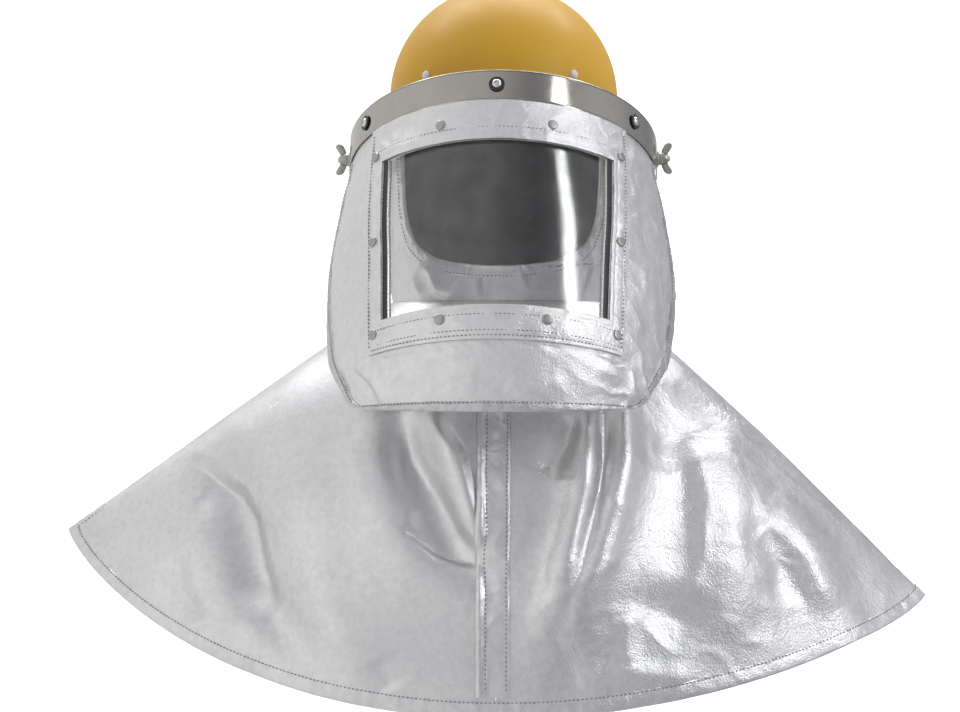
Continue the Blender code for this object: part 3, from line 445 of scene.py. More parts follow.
def add_ramp(tree, value, stops):
    """Stops of (place, colour or grey)."""
    node = tree.nodes.new("ShaderNodeValToRGB")
    while len(node.color_ramp.elements) < len(stops):
        node.color_ramp.elements.new(1.0)
    for element, (place, colour) in zip(node.color_ramp.elements, stops):
        grey = (colour, colour, colour) if isinstance(colour, float) else colour
        element.position = place
        element.color = (*grey, 1.0)
    tree.links.new(value, node.inputs["Fac"])
    return node.outputs["Color"]


class Paint:
    """A node material, with short ways to add and join its nodes."""

    def __init__(self, name, colour, roughness, metallic=0.0):
        self.made = bpy.data.materials.new(name)
        self.made.use_nodes = True
        self.tree = self.made.node_tree
        self.shader = self.tree.nodes["Principled BSDF"]
        self.set("Base Color", (*colour, 1.0))
        self.set("Roughness", roughness)
        self.set("Metallic", metallic)
        self.place = self.tree.nodes.new("ShaderNodeTexCoord").outputs["Object"]

    def set(self, socket, value):
        self.shader.inputs[socket].default_value = value

    def vary(self, socket, value, stops):
        self.tree.links.new(add_ramp(self.tree, value, stops), self.shader.inputs[socket])

    def add(self, kind, output, inputs, **settings):
        return add_node(self.tree, kind, output, inputs, **settings)

    def noise(self, scale, detail=2.0, rough=0.5, stretch=None, bend=0.0):
        place = self.place
        if stretch:
            place = self.add("Mapping", "Vector", {"Vector": place, "Scale": stretch})
        return self.add("TexNoise", "Fac", {"Vector": place, "Scale": scale, "Detail": detail,
                                            "Roughness": rough, "Distortion": bend})

    def cells(self, scale):
        return self.add("TexVoronoi", "Distance", {"Vector": self.place, "Scale": scale})

    def weave(self, scale, bend, detail=0.0):
        """Two sets of waves that cross."""
        inputs = {"Vector": self.place, "Scale": scale, "Distortion": bend, "Detail": detail}
        rows = [self.add("TexWave", "Fac", inputs, bands_direction=axis) for axis in "XZ"]
        return self.sum(*rows)

    def sum(self, first, second, operation="ADD"):
        return self.add("Math", "Value", {0: first, 1: second}, operation=operation)

    def bump(self, height, strength, distance, before=None):
        inputs = {"Strength": strength, "Distance": distance, "Height": height}
        if before:
            inputs["Normal"] = before
        normal = self.add("Bump", "Normal", inputs)
        self.tree.links.new(normal, self.shader.inputs["Normal"])
        return normal


def foil_paint(name, light, dark, roughness, weave=0.5, crinkle=0.5, metallic=0.86):
    """Aluminized cloth: a fine weave under a metal film with creases and rubbed spots."""
    paint = Paint(name, light, roughness, metallic)
    tone = paint.sum(paint.noise(9.0, 3.0, 0.55), paint.noise(160.0, 2.0, 0.6), "MULTIPLY")
    paint.vary("Base Color", tone, [(0.08, dark), (0.34, light)])
    rubbed = paint.noise(34.0, 5.0, 0.62, bend=0.6)
    paint.vary("Roughness", rubbed, [(0.30, roughness - 0.07), (0.72, roughness + 0.10)])
    normal = paint.bump(paint.weave(420.0, 1.2, 1.0), weave * 0.35, 0.00022)
    normal = paint.bump(paint.cells(230.0), weave * 0.5, 0.00030, normal)
    creased = paint.noise(46.0, 4.0, 0.6, bend=0.5)
    side = paint.add("SeparateXYZ", "X", {"Vector": paint.place})
    share = paint.sum(paint.sum(side, 6.0, "MULTIPLY"), 0.35)
    worn = add_ramp(paint.tree, share, [(0.0, 0.15), (1.0, 1.0)])
    normal = paint.bump(paint.sum(paint.cells(620.0), worn, "MULTIPLY"), weave, 0.00045, normal)
    paint.bump(paint.sum(creased, worn, "MULTIPLY"), crinkle, 0.0022, normal)
    return paint.made


def helmet_paint():
    paint = Paint("helmet_yellow_shell", (0.60, 0.335, 0.030), 0.46)
    paint.vary("Base Color", paint.noise(7.0, 3.0),
               [(0.30, (0.57, 0.31, 0.024)), (0.70, (0.63, 0.36, 0.034))])
    paint.vary("Roughness", paint.noise(60.0, 4.0), [(0.3, 0.42), (0.7, 0.52)])
    normal = paint.bump(paint.noise(900.0, 2.0), 0.10, 0.0003)
    paint.bump(paint.noise(30.0, 1.0), 0.06, 0.002, normal)
    paint.set("Specular IOR Level", 0.30)
    return paint.made


def steel_paint(name, colour, roughness, brush=0.4):
    paint = Paint(name, colour, roughness, 1.0)
    lines = paint.noise(40.0, 4.0, 0.6, stretch=(1.0, 1.0, 40.0))
    paint.vary("Roughness", lines, [(0.3, roughness * 0.75), (0.7, roughness * 1.5)])
    dark = tuple(value * 0.95 for value in colour)
    paint.vary("Base Color", paint.noise(60.0, 3.0), [(0.25, dark), (0.6, colour)])
    paint.bump(lines, brush, 0.0002)
    return paint.made


def rubber_and_shade_paint():
    # Near-black: on the lens channels this is painted shade for the shadow in the gap beside the
    # lens; on the band washers it is their own dark rubber.
    paint = Paint("near_black_rubber_and_gap_shade", (0.022, 0.022, 0.026), 0.42)
    grain = paint.noise(700.0, 3.0)
    paint.vary("Roughness", grain, [(0.3, 0.32), (0.7, 0.54)])
    paint.bump(grain, 0.25, 0.0002)
    return paint.made


def lens_paint():
    """A clear sheet: what it doesn't reflect passes through it."""
    paint = Paint("clear_lens_sheet", (0.93, 0.95, 0.96), 0.04, 1.0)
    steep = paint.sum(paint.add("LayerWeight", "Facing", {"Blend": 0.25}), 3.0, "POWER")
    edge = paint.sum(paint.sum(steep, 0.45, "MULTIPLY"), 0.055)
    haze = add_ramp(paint.tree, paint.noise(55.0, 5.0, 0.6), [(0.35, 0.01), (0.75, 0.04)])
    paint.tree.links.new(paint.sum(edge, haze), paint.shader.inputs["Alpha"])
    paint.vary("Roughness", paint.noise(80.0, 4.0), [(0.3, 0.10), (0.8, 0.17)])
    return paint.made


def lining_paint():
    """The cloth's inner side: a woven lining, near-black partly as its own colour and partly as
    painted shade for the hollow inside the hood.
    """
    # The near-black base colour is partly painted shade, darkened so that the inside of the hood
    # reads as shaded.
    paint = Paint("dark_lining_and_painted_shade", (0.055, 0.052, 0.052), 0.9)
    paint.vary("Base Color", paint.noise(26.0, 4.0),
               [(0.3, (0.042, 0.040, 0.041)), (0.7, (0.075, 0.070, 0.068))])
    paint.bump(paint.weave(300.0, 1.0), 0.5, 0.0004)
    return paint.made


def thread_paint():
    paint = Paint("grey_thread", (0.22, 0.22, 0.23), 0.6)
    twist = paint.noise(1600.0, 2.0, stretch=(1.0, 1.0, 2.0))
    paint.vary("Base Color", twist, [(0.3, (0.16, 0.16, 0.17)), (0.7, (0.30, 0.30, 0.31))])
    paint.bump(twist, 0.5, 0.0003)
    return paint.made


def stud_paint():
    paint = Paint("pale_stud_plastic", (0.70, 0.66, 0.70), 0.4)
    paint.bump(paint.noise(900.0), 0.1, 0.0002)
    return paint.made


def floor_paint():
    paint = Paint("pale_floor", (0.86, 0.86, 0.86), 0.8)
    paint.vary("Base Color", paint.noise(3.0), [(0.3, 0.85), (0.7, 0.87)])
    return paint.made


FOIL = foil_paint("cape_foil", (0.74, 0.74, 0.75), (0.63, 0.63, 0.65), 0.33)
FACE_FOIL = foil_paint("shield_foil", (0.77, 0.77, 0.78), (0.67, 0.67, 0.69), 0.36, 0.6, 0.6, 0.80)
TAPE_FOIL = foil_paint("tape_foil", (0.66, 0.66, 0.67), (0.46, 0.46, 0.48), 0.36, 0.7, 0.9, 0.85)
HELMET = helmet_paint()
BAND = steel_paint("band_polished_steel", (0.47, 0.455, 0.42), 0.11, 0.25)
BRIGHT = steel_paint("fastener_steel", (0.72, 0.72, 0.71), 0.26)
RIVET = steel_paint("rivet_aluminium", (0.42, 0.42, 0.41), 0.34)
WING = steel_paint("wing_nut_steel", (0.42, 0.41, 0.38), 0.30)
LINING = lining_paint()
BLACK_RUBBER_AND_SHADE = rubber_and_shade_paint()
THREAD = thread_paint()
LENS = lens_paint()
STUD = stud_paint()


# Camera, light and stage

def make_camera():
    data = bpy.data.cameras.new("camera")
    data.sensor_width = 36.0
    data.lens = data.sensor_width * CAMERA_AWAY / (PIXEL * PICTURE_WIDTH)
    camera = bpy.data.objects.new("camera", data)
    right = Vector((math.cos(TURN), math.sin(TURN), 0.0))
    back = Vector((math.sin(TURN), -math.cos(TURN), 0.0))
    camera.location = back * CAMERA_AWAY - right * ASIDE + Vector((0.0, 0.0, CAMERA_Z))
    camera.rotation_euler = (math.radians(90.0), 0.0, TURN)
    bpy.context.scene.collection.objects.link(camera)
    bpy.context.scene.camera = camera


def make_light(name, place, size, power, aim=(0.0, 0.0, -0.15)):
    data = bpy.data.lights.new(name, "AREA")
    data.shape = "RECTANGLE"
    data.size, data.size_y = size
    data.energy = power
    lamp = bpy.data.objects.new(name, data)
    lamp.location = place
    lamp.rotation_euler = (Vector(aim) - Vector(place)).to_track_quat("-Z", "Y").to_euler()
    bpy.context.scene.collection.objects.link(lamp)


def make_world():
    """A studio round the hood: lighter on the left and above, darker low on the right."""
    world = bpy.data.worlds.new("studio")
    bpy.context.scene.world = world
    world.use_nodes = True
    tree = world.node_tree
    place = tree.nodes.new("ShaderNodeTexCoord").outputs["Generated"]
    total = 0.50
    for axis, weight in (("X", -0.36), ("Z", -0.06)):
        part = add_node(tree, "SeparateXYZ", axis, {"Vector": place})
        total = add_node(tree, "Math", "Value", {0: part, 1: weight, 2: total},
                         operation="MULTIPLY_ADD")
    stops = ((0.11, (0.80, 0.80, 0.82)), (0.20, (0.44, 0.44, 0.46)), (0.31, (0.30, 0.30, 0.325)),
             (0.50, (0.61, 0.61, 0.62)), (0.85, (0.81, 0.81, 0.79)))
    shade = tree.nodes["Background"].inputs
    tree.links.new(add_ramp(tree, total, stops), shade["Color"])
    shade["Strength"].default_value = 1.0


def make_stage():
    """A pale floor that curves up behind into a backdrop."""
    floor_z, curve_y, radius = -0.60, 3.0, 1.4
    profile = [(-4.0, floor_z), (curve_y, floor_z)]
    for turn in np.radians(np.linspace(0.0, 90.0, 13)):
        profile.append((curve_y + radius * math.sin(turn), floor_z + radius * (1.0 - math.cos(turn))))
    profile.append((curve_y + radius, 4.5))
    points = np.array([[(x, y, z) for x in (-6.0, 6.0)] for y, z in profile])
    faces = [[2 * k, 2 * k + 1, 2 * k + 3, 2 * k + 2] for k in range(len(profile) - 1)]
    floor = make_object("floor", points, faces, floor_paint())
    floor.visible_glossy = False
    make_world()
    make_light("left_softbox", (-2.3, -1.9, 0.5), (1.8, 2.4), 4.0)
    make_light("right_softbox", (2.3, -1.35, 1.05), (0.38, 2.0), 22.0)
    make_light("top_softbox", (0.2, -0.7, 2.4), (1.6, 1.2), 1.6)
    make_light("back_wash", (0.0, 2.2, 3.0), (6.0, 1.0), 170.0, (0.0, 4.4, 0.1))
    make_light("floor_wash", (0.0, 1.3, 2.6), (4.5, 1.4), 95.0, (0.0, 2.1, -0.6))
    bpy.context.scene.view_settings.view_transform = "Standard"


# Pieces

def finish_piece(piece, body, slot, *nodes):
    if nodes:
        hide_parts(*nodes)
    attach(piece, body)
    return piece


def make_helmet():
    """The shell from the crown down to its lip and up again inside."""
    angles = np.linspace(0.0, math.tau, 128, endpoint=False)
    front = np.maximum(np.cos(angles), 0.0)
    rim = mix(RIM_SIDE_Z, RIM_FRONT_Z, front ** 2)
    peak = LIP + PEAK * front ** 1.5
    fall = PEAK_FALL * front ** 1.5

    def ring(z, inset=0.0, out=0.0, lower=0.0):
        scale = helmet_scale(z)
        x = (DOME_RADIUS * scale - inset + out) * np.sin(angles)
        y = DOME_Y - (DOME_HALF_LENGTH * scale - inset + out) * np.cos(angles)
        return np.stack([x, y, z - lower], -1)

    def dome(bow, wall):
        x = (DOME_RADIUS - wall) * np.sin(angles) * math.sin(bow)
        y = DOME_Y - (DOME_HALF_LENGTH - wall) * np.cos(angles) * math.sin(bow)
        return np.stack([x, y, DOME_Z + (DOME_RADIUS - wall) * math.cos(bow) + 0.0 * angles], -1)

    bows = [math.radians(0.4)] + [math.radians(3.75 * k) for k in range(1, 25)]
    foot = fall + HELMET_WALL
    lip = ((0.12 * peak, 0.0), (0.5 * peak, 0.4 * fall), (peak - 0.0004, fall), (peak, fall + 0.0006),
           (peak, foot - 0.0006), (peak - 0.0004, foot))
    sections = [dome(bow, 0.0) for bow in bows]
    sections += [ring(mix(DOME_Z, rim, share)) for share in (0.25, 0.5, 0.75, 0.94)]
    sections += [ring(rim, 0.0, out, lower) for out, lower in lip]
    sections += [ring(rim, HELMET_WALL, 0.0, HELMET_WALL)]
    sections += [ring(mix(rim, DOME_Z, share), HELMET_WALL) for share in (0.2, 0.6)]
    sections += [dome(bow, HELMET_WALL) for bow in reversed(bows)]
    shell = loft("helmet_shell_fine", np.array(sections), HELMET, sharp=50.0)
    finish_piece(shell, "hood", "helmet_yellow", "helmet_shell")


def stitches(name, line, normals, pitch, body):
    """Small threads along a line of points, one every pitch."""
    length, width, height = 0.0022, 0.00055, 0.00035
    steps = np.linalg.norm(np.diff(line, axis=0), axis=-1)
    run = np.concatenate([[0.0], np.cumsum(steps)])
    places = np.arange(pitch, run[-1] - pitch, pitch)

    def along(values, shift=0.0):
        return np.stack([np.interp(places + shift, run, values[:, k]) for k in range(3)], -1)

    centres, ups = along(line), unit(along(normals))
    ahead = unit(along(line, pitch / 4.0) - centres)
    beside = unit(np.cross(ups, ahead))
    points = []
    for share, size in ((-0.5, 0.35), (-0.22, 1.0), (0.22, 1.0), (0.5, 0.35)):
        for side, rise in ((-1.0, -0.6), (-0.6, size), (0.6, size), (1.0, -0.6)):
            points.append(centres + ahead * length * share + beside * width * size * side
                          + ups * height * rise)
    corners = [[4 * k + corner, 4 * k + (corner + 1) % 4, 4 * k + 4 + (corner + 1) % 4,
                4 * k + 4 + corner] for k in range(3) for corner in range(4)]
    corners += [[0, 3, 2, 1], [12, 13, 14, 15]]
    faces = np.array(corners) + 16 * np.arange(len(centres))[:, None, None]
    made = make_object(name, np.stack(points, 1), faces.reshape(-1, 4).tolist(), THREAD)
    face_out(made)
    return finish_piece(made, body, "foil_tape")


# Seen from the front, in metres on the pivots' plane

def front_view(points):
    """Where points show in the camera's picture: metres right of the middle, and height."""
    x, y, z = np.moveaxis(points, -1, 0)
    near = CAMERA_AWAY / (CAMERA_AWAY - x * math.sin(TURN) + y * math.cos(TURN))
    right = x * math.cos(TURN) + y * math.sin(TURN)
    return (right + ASIDE) * near - ASIDE, CAMERA_Z + (z - CAMERA_Z) * near


def line_distance(x, z, line):
    """Distance to a line through (x, z) places in millimetres, its sign, and the share along it."""
    places = np.array(line) / 1000.0
    lengths = np.linalg.norm(np.diff(places, axis=0), axis=-1)
    runs = np.concatenate([[0.0], np.cumsum(lengths)])
    nearest = np.full(x.shape, 9.0)
    side = np.zeros(x.shape)
    share = np.zeros(x.shape)
    for index, length in enumerate(lengths):
        first, last = places[index], places[index + 1]
        way = (last - first) / length
        along = np.clip((x - first[0]) * way[0] + (z - first[1]) * way[1], 0.0, length)
        dx, dz = x - first[0] - way[0] * along, z - first[1] - way[1] * along
        distance = np.hypot(dx, dz)
        closer = distance < nearest
        nearest = np.where(closer, distance, nearest)
        side = np.where(closer, np.sign(dx * way[1] - dz * way[0]), side)
        share = np.where(closer, (runs[index] + along) / runs[-1], share)
    return nearest, side, share


# Creases: the line in millimetres as seen from the front, half width and height in millimetres,
# and how much one side is steeper than the other
Crease = namedtuple("Crease", "name line half_width height lean")
CAPE_CREASES = [
    Crease("left shoulder facet", [(-299, -286), (-276, -296), (-253, -316), (-241, -338),
                                   (-231, -383), (-216, -427)], 18, -12.0, 0.62),
    Crease("left shoulder dent", [(-263, -283), (-230, -328), (-215, -364)], 9, -1.4, 0.2),
    Crease("left tip facet", [(-308, -370), (-303, -405), (-285, -434)], 9, -4.5, 0.35),
    Crease("left middle facet", [(-97, -238), (-87, -283), (-64, -320), (-46, -352),
                                 (-22, -379)], 17, -6.0, 0.58),
    Crease("left light facet", [(-72, -238), (-42, -278), (-31, -328), (-22, -366)], 9, 3.5, 0.40),
    Crease("left crescent", [(-98, -344), (-62, -368), (-38, -378), (-14, -382)], 8, -3.5, -0.6),
    Crease("left hem dent", [(-120, -470), (-105, -500)], 14, -2.5, 0.0),
    Crease("right top dent", [(66, -236), (58, -268), (40, -300)], 12, -5.0, 0.4),
    Crease("right first streak", [(80, -256), (72, -318), (58, -378), (47, -409)], 14, 5.5, 0.35),
    Crease("right middle plane", [(98, -240), (88, -310), (66, -392)], 8, -2.0, -0.2),
    Crease("right second streak", [(113, -238), (113, -279), (102, -323), (88, -373),
                                   (72, -412), (66, -446)], 16, 6.5, 0.35),
    Crease("right broad ridge", [(172, -258), (188, -320), (185, -377), (160, -433)], 29, 13.0, 0.2),
    Crease("right outer plane", [(236, -330), (262, -376), (258, -420)], 16, -4.5, 0.0),
    Crease("right side ridge", [(238, -326), (285, -378), (312, -426)], 14, 4.5, -0.2),
    Crease("right hem ridge", [(96, -474), (130, -484), (180, -488)], 14, 3.0, 0.4),
    Crease("right low ridge", [(114, -428), (116, -474)], 8, 2.5, 0.0),
    Crease("right low fold", [(40, -440), (64, -470), (70, -508)], 13, -3.0, 0.3),
]


def crease_height(rows, x, z):
    height = np.zeros(x.shape)
    for row in rows:
        distance, side, share = line_distance(x, z, row.line)
        width = row.half_width / 1000.0 * (1.0 + row.lean * side)
        soft = np.sqrt(distance ** 2 + (0.24 * width) ** 2)
        profile = np.clip(1.12 - soft / (1.8 * width), 0.0, 1.0) ** 1.3
        fade = smooth(share / 0.25 + 0.15) * smooth((1.0 - share) / 0.25 + 0.15)
        height += row.height / 1000.0 * profile * fade
    return height


def cape_height(points, angle, drop):
    """The small forms of the cape's cloth, over its built form."""
    x, z = front_view(points)
    front = smooth(np.cos(angle) / 0.08)
    height = crease_height(CAPE_CREASES, x, z) * front
    right = smooth((x + 0.01) / 0.06)
    low = smooth((drop - 0.02) / 0.2)
    coarse = creases(points, 0.085, 11) * right
    middle = creases(points, 0.038, 23) * right
    fine = noise(points / 0.016, 31)
    patch = smooth(noise(points / 0.11, 41) * 2.2 + 0.5)
    height += coarse * 0.0014 * low + middle * 0.0009 * patch
    height += fine * mix(0.0, 0.0006, right) * patch
    height += noise(points / 0.075, 51) * mix(0.0020, 0.0028, right)
    from_side = 1.0 - np.abs(np.sin(angle))
    ends = smooth(drop / 0.06) * smooth(from_side / 0.015)
    return height * mix(0.25, 1.0, smooth(from_side / 0.10)) * ends


def cape_surface(angle, drop):
    """The finished cape's outside."""
    points = cape_at(angle, drop)
    return points + normals_of(points) * cape_height(points, angle, drop)[..., None]


def cape_line(angles, drops):
    """Points and normals of a line on the finished cape."""
    base, normal = surface_line(cape_at, angles, drops, 0.008)
    return base + normal * (cape_height(base, angles, drops) + 0.0005)[:, None], normal


def side_line(first, last, count, back=False):
    angles = np.arcsin(np.clip(np.linspace(first, last, count), -1.0, 1.0))
    return np.pi - angles if back else angles


def cloth_area(points, there=1.0):
    """Area of the cells that there are in a grid of points."""
    a = points[1:, 1:] - points[:-1, :-1]
    b = points[1:, :-1] - points[:-1, 1:]
    return float((np.linalg.norm(np.cross(a, b), axis=-1) * there).sum() / 2.0)


CAPE_DROPS = np.concatenate([np.linspace(0.0, 0.955, 215), np.linspace(0.96, 1.0, 9)])
CAPE_PANELS = [
    ("cape_front_left", side_line(-1.0, 0.0, 150), -0.0002, -0.0002),
    ("cape_front_right", side_line(0.0, 1.0, 150), 0.0002, -0.0002),
    ("cape_back", side_line(1.0, -1.0, 150, back=True), 0.0, 0.0002),
]


def make_cape():
    """The three panels with their areas."""
    made = {}
    for name, angles, shift_x, shift_y in CAPE_PANELS:
        drops = CAPE_DROPS if name != "cape_back" else CAPE_DROPS[::2]
        points = cape_surface(*np.meshgrid(angles, drops)) + np.array([shift_x, shift_y, 0.0])
        panel = sheet(name + "_cloth", points, CLOTH, FOIL, inside=LINING)
        made[name] = finish_piece(panel, "hood", "foil_cloth", name), cloth_area(points)
    return made


# A folded tape's section: share of its width from the edge inwards, height in walls of the tape
TAPE_SECTION = ((1.0, 0.0), (0.93, 0.35), (0.82, 0.7), (0.6, 1.0), (0.3, 1.2), (0.08, 1.1),
                (-0.02, 0.7), (-0.06, 0.0), (-0.06, -1.0), (-0.02, -1.7), (0.08, -2.1), (0.3, -2.2),
                (0.86, -2.0), (0.97, -1.75), (1.0, -1.1))


def ribbon(name, edge, inner, normals, paint, thick, closed=False, ruffle=0.0):
    """A tape folded round an edge, from its inner line on the front to that on the back."""
    sections = []
    for share, height in TAPE_SECTION:
        base = edge + (inner - edge) * share
        lift = thick * height + ruffle * noise(base / 0.006, 71) * (1.0 if height > 0.0 else 0.2)
        sections.append(base + normals * np.reshape(lift, (-1, 1)))
    return loft(name, np.stack(sections, 1), paint, closed, 50.0)


def make_placket():
    """The strip over the front closing, with a rounded fold on its left and dents down it."""
    drops = np.linspace(PLACKET_TOP, 0.957, 230)
    xs = np.concatenate([np.linspace(PLACKET_LEFT, PLACKET_LEFT + 0.004, 5),
                         np.linspace(PLACKET_LEFT + 0.005, PLACKET_RIGHT - 0.003, 22),
                         np.linspace(PLACKET_RIGHT - 0.002, PLACKET_RIGHT, 4)])
    x, drop = np.meshgrid(xs, drops)
    reach = mix(NECK_HALF_WIDTH, (LEFT_REACH + RIGHT_REACH) / 2.0,
                mix(1.0 - (1.0 - drop) ** (1.0 + CHEST_BOW), drop, 0.5))
    points = cape_surface(np.arcsin(x / reach), drop)
    share = (x - PLACKET_LEFT) / (PLACKET_RIGHT - PLACKET_LEFT)
    run = drop * 0.37
    lift = 0.0013 + 0.0026 * bump_at(share, 0.12, 0.13) + 0.0008 * bump_at(share, 0.72, 0.25)
    dents = 0.0
    for place, depth in ((0.145, 1.0), (0.185, 0.9), (0.235, 0.7), (0.50, 0.3), (0.68, 0.35)):
        dents = dents + depth * bump_at(run, place * 0.8, 0.0075)
    lift = lift - 0.0016 * dents * bump_at(share, 0.55, 0.28)
    lift = lift + 0.0007 * noise(points / 0.012, 61) + 0.0012 * creases(points, 0.03, 67)
    lift = lift * smooth(np.minimum(share, 1.0 - share) / 0.06 + 0.25) + 0.0009
    points = points + normals_of(points) * lift[..., None]
    return sheet("front_placket_cloth", points, CLOTH, FOIL), points


# Shield

def row_places(marks, counts):
    """Places along a side with every mark among them."""
    parts = [np.linspace(first, last, count + 1)[:-1]
             for first, last, count in zip(marks, marks[1:], counts)]
    return np.concatenate(parts + [np.array([marks[-1]])])


WINDOW_TOP_V = WINDOW_DROP / VISOR_HEIGHT
WINDOW_FOOT_V = (WINDOW_DROP + WINDOW_HEIGHT) / VISOR_HEIGHT
FRAME_TOP_V = (BAND_WIDTH + 0.0006) / VISOR_HEIGHT
FRAME_FOOT_V = (WINDOW_DROP + WINDOW_HEIGHT + FRAME_FOOT) / VISOR_HEIGHT
SHIELD_CREASES = [
    Crease("lower left dart", [(-146, -196), (-128, -214), (-118, -234)], 6, -3.0, 0.5),
    Crease("lower left lip", [(-138, -190), (-120, -210), (-112, -232)], 5, 2.2, 0.0),
    Crease("left foot dent", [(-104, -206), (-84, -222)], 7, -1.6, 0.3),
    Crease("foot dent", [(-30, -204), (8, -214)], 9, -1.2, 0.2),
    Crease("foot ridge", [(10, -222), (60, -206)], 8, 1.6, 0.2),
    Crease("lower right ridge", [(84, -196), (112, -206), (126, -230)], 8, 2.4, -0.3),
    Crease("lower right valley", [(98, -188), (124, -196)], 6, -1.8, 0.0),
    Crease("right side dent", [(128, -40), (140, -90)], 7, -1.6, 0.2),
    Crease("right side ridge", [(132, -96), (144, -150)], 6, 1.8, 0.0),
    Crease("left side dent", [(-140, -60), (-148, -120)], 8, -1.0, 0.2),
]


def seam_pull(u, v, points):
    """The shield's cloth drawn in along its stitch lines."""
    run = points[..., 0] + points[..., 2]
    below = (v - FRAME_FOOT_V) * VISOR_HEIGHT
    reach = 0.105
    edge = (1.0 - np.abs(u)) * reach
    pull = -0.0005 * bump_at(edge, 0.0095, 0.002) - 0.0005 * bump_at(below, 0.004, 0.002)
    gather = noise(np.stack([run / 0.006, v * 3.0, u * 0.0], -1), 73)
    return pull + 0.0010 * gather * (bump_at(edge, 0.013, 0.005) + bump_at(below, 0.006, 0.006))


def shield_height(points, u, v):
    x, z = front_view(points)
    right = smooth((x - 0.05) / 0.08)
    foot = smooth((v - 0.78) / 0.1)
    rough = np.clip(0.10 + right * 1.1 + foot * right * 0.6 + foot * 0.2, 0.0, 1.6)
    height = crease_height(SHIELD_CREASES, x, z)
    height = height + creases(points, 0.030, 81) * 0.0013 * rough
    height = height + noise(points / 0.013, 83) * 0.0007 * rough
    height = height + noise(points / 0.045, 85) * 0.0012
    around = smooth((np.abs(u) - FRAME_U) / 0.06) + smooth((v - FRAME_FOOT_V) / 0.04)
    height = height * mix(0.16, 1.0, np.clip(around, 0.0, 1.0))
    under_band = smooth((v - FRAME_TOP_V) / 0.05)
    return (height + seam_pull(u, v, points)) * under_band


def shield_surface(u, v):
    points = visor_on(u, v)
    return points + normals_of(points) * shield_height(points, u, v)[..., None]


def window_cells(us, vs):
    across = np.abs(us[:-1] + us[1:]) / 2.0
    down = (vs[:-1] + vs[1:]) / 2.0
    inside = (down > WINDOW_TOP_V) & (down < WINDOW_FOOT_V)
    return ~(inside[:, None] & (across < WINDOW_U)[None, :])


def make_shield():
    """The surround and the window's frame, with their areas."""
    top = 0.004 / VISOR_HEIGHT
    us = row_places((-1.0, -FRAME_U, -WINDOW_U, WINDOW_U, FRAME_U, 1.0), (44, 14, 90, 14, 44))
    vs = row_places((top, WINDOW_TOP_V, WINDOW_FOOT_V, FRAME_FOOT_V, 1.0), (30, 70, 18, 40))
    points = shield_surface(*np.meshgrid(us, vs))
    there = window_cells(us, vs)
    cloth = sheet("visor_surround_cloth", points, CLOTH, FACE_FOIL, there)
    finish_piece(cloth, "visor", "foil_cloth", "visor_surround")
    us = row_places((-FRAME_U, -WINDOW_U, WINDOW_U, FRAME_U), (24, 110, 24))
    vs = row_places((FRAME_TOP_V, WINDOW_TOP_V, WINDOW_FOOT_V, FRAME_FOOT_V), (24, 70, 24))
    u, v = np.meshgrid(us, vs)
    base = visor_on(u, v)
    reach = 0.125
    aside = np.maximum((np.abs(u) - WINDOW_U) * reach,
                       np.maximum(WINDOW_TOP_V - v, v - WINDOW_FOOT_V) * VISOR_HEIGHT)
    outer = np.minimum((FRAME_U - np.abs(u)) * reach, (FRAME_FOOT_V - v) * VISOR_HEIGHT)
    edge = np.minimum(outer, np.maximum(aside, 0.0))
    lift = 0.0021 + 0.0004 * smooth(edge / 0.003) - 0.00045 * bump_at(edge, 0.0036, 0.0012)
    lift = lift + 0.0005 * noise(base / 0.011, 87) + 0.0006 * creases(base, 0.026, 89)
    frame_points = base + normals_of(base) * lift[..., None]
    frame_there = window_cells(us, vs)
    strip = sheet("window_frame_cloth", frame_points, 0.0011, FACE_FOIL, frame_there)
    finish_piece(strip, "visor", "foil_cloth", "window_frame")
    return (cloth, cloth_area(points, there)), (strip, cloth_area(frame_points, frame_there))


def visor_line(u, v, lift=0.0):
    """Points and normals along a line on the shield."""
    at, normal = surface_line(visor_on, u, v)
    return at + normal * lift, normal


def make_shield_tape():
    """The tape down one side of the shield, round its foot and up the other side."""
    side_in, foot_in = 0.086, 0.009 / VISOR_HEIGHT
    start = (BAND_WIDTH + 0.0012) / VISOR_HEIGHT
    down = np.linspace(start, 1.0 - foot_in * 1.6, 150)
    corner = np.linspace(0.0, 1.0, 14)[1:-1]
    round_corner = mix(down[-1], 1.0 - foot_in * 0.12, np.sin(corner * 1.5))
    lines = []
    for side_u, side_v, foot_u, foot_v in (
            (np.concatenate([np.ones(150), 1.0 - side_in * 0.35 * corner ** 2]),
             np.concatenate([down, round_corner]), 1.0 - side_in * 0.7, 1.0),
            (np.concatenate([np.full(150, 1.0 - side_in), 1.0 - side_in * (1.0 + 0.5 * corner)]),
             np.concatenate([down, mix(down[-1], 1.0 - foot_in, corner)]), 1.0 - side_in * 1.7,
             1.0 - foot_in)):
        u = np.concatenate([side_u, np.linspace(foot_u, -foot_u, 190), -side_u[::-1]])
        v = np.concatenate([side_v, np.full(190, foot_v), side_v[::-1]])
        lines.append(visor_line(u, v))
    (edge, normal), (inner, _) = lines
    tape = ribbon("surround_binding_tape", edge, inner, normal, TAPE_FOIL, 0.0012, ruffle=0.0008)
    finish_piece(tape, "visor", "foil_tape", "surround_binding")
    middle = mix(edge, inner, 0.84) + normal * 0.0014
    return [tape, stitches("surround_binding_stitches", middle, normal, 0.0036, "visor")]


def make_lens():
    wide = np.linspace(-WINDOW_U - 0.03, WINDOW_U + 0.03, 60)
    high = np.linspace(WINDOW_TOP_V - 0.007 / VISOR_HEIGHT, WINDOW_FOOT_V + 0.007 / VISOR_HEIGHT, 40)
    points = visor_on(*np.meshgrid(wide, high))
    points = points - normals_of(points) * 0.0025
    lens = sheet("visor_lens_sheet", points, 0.0013, LENS)
    finish_piece(lens, "visor", "clear_lens", "visor_lens")


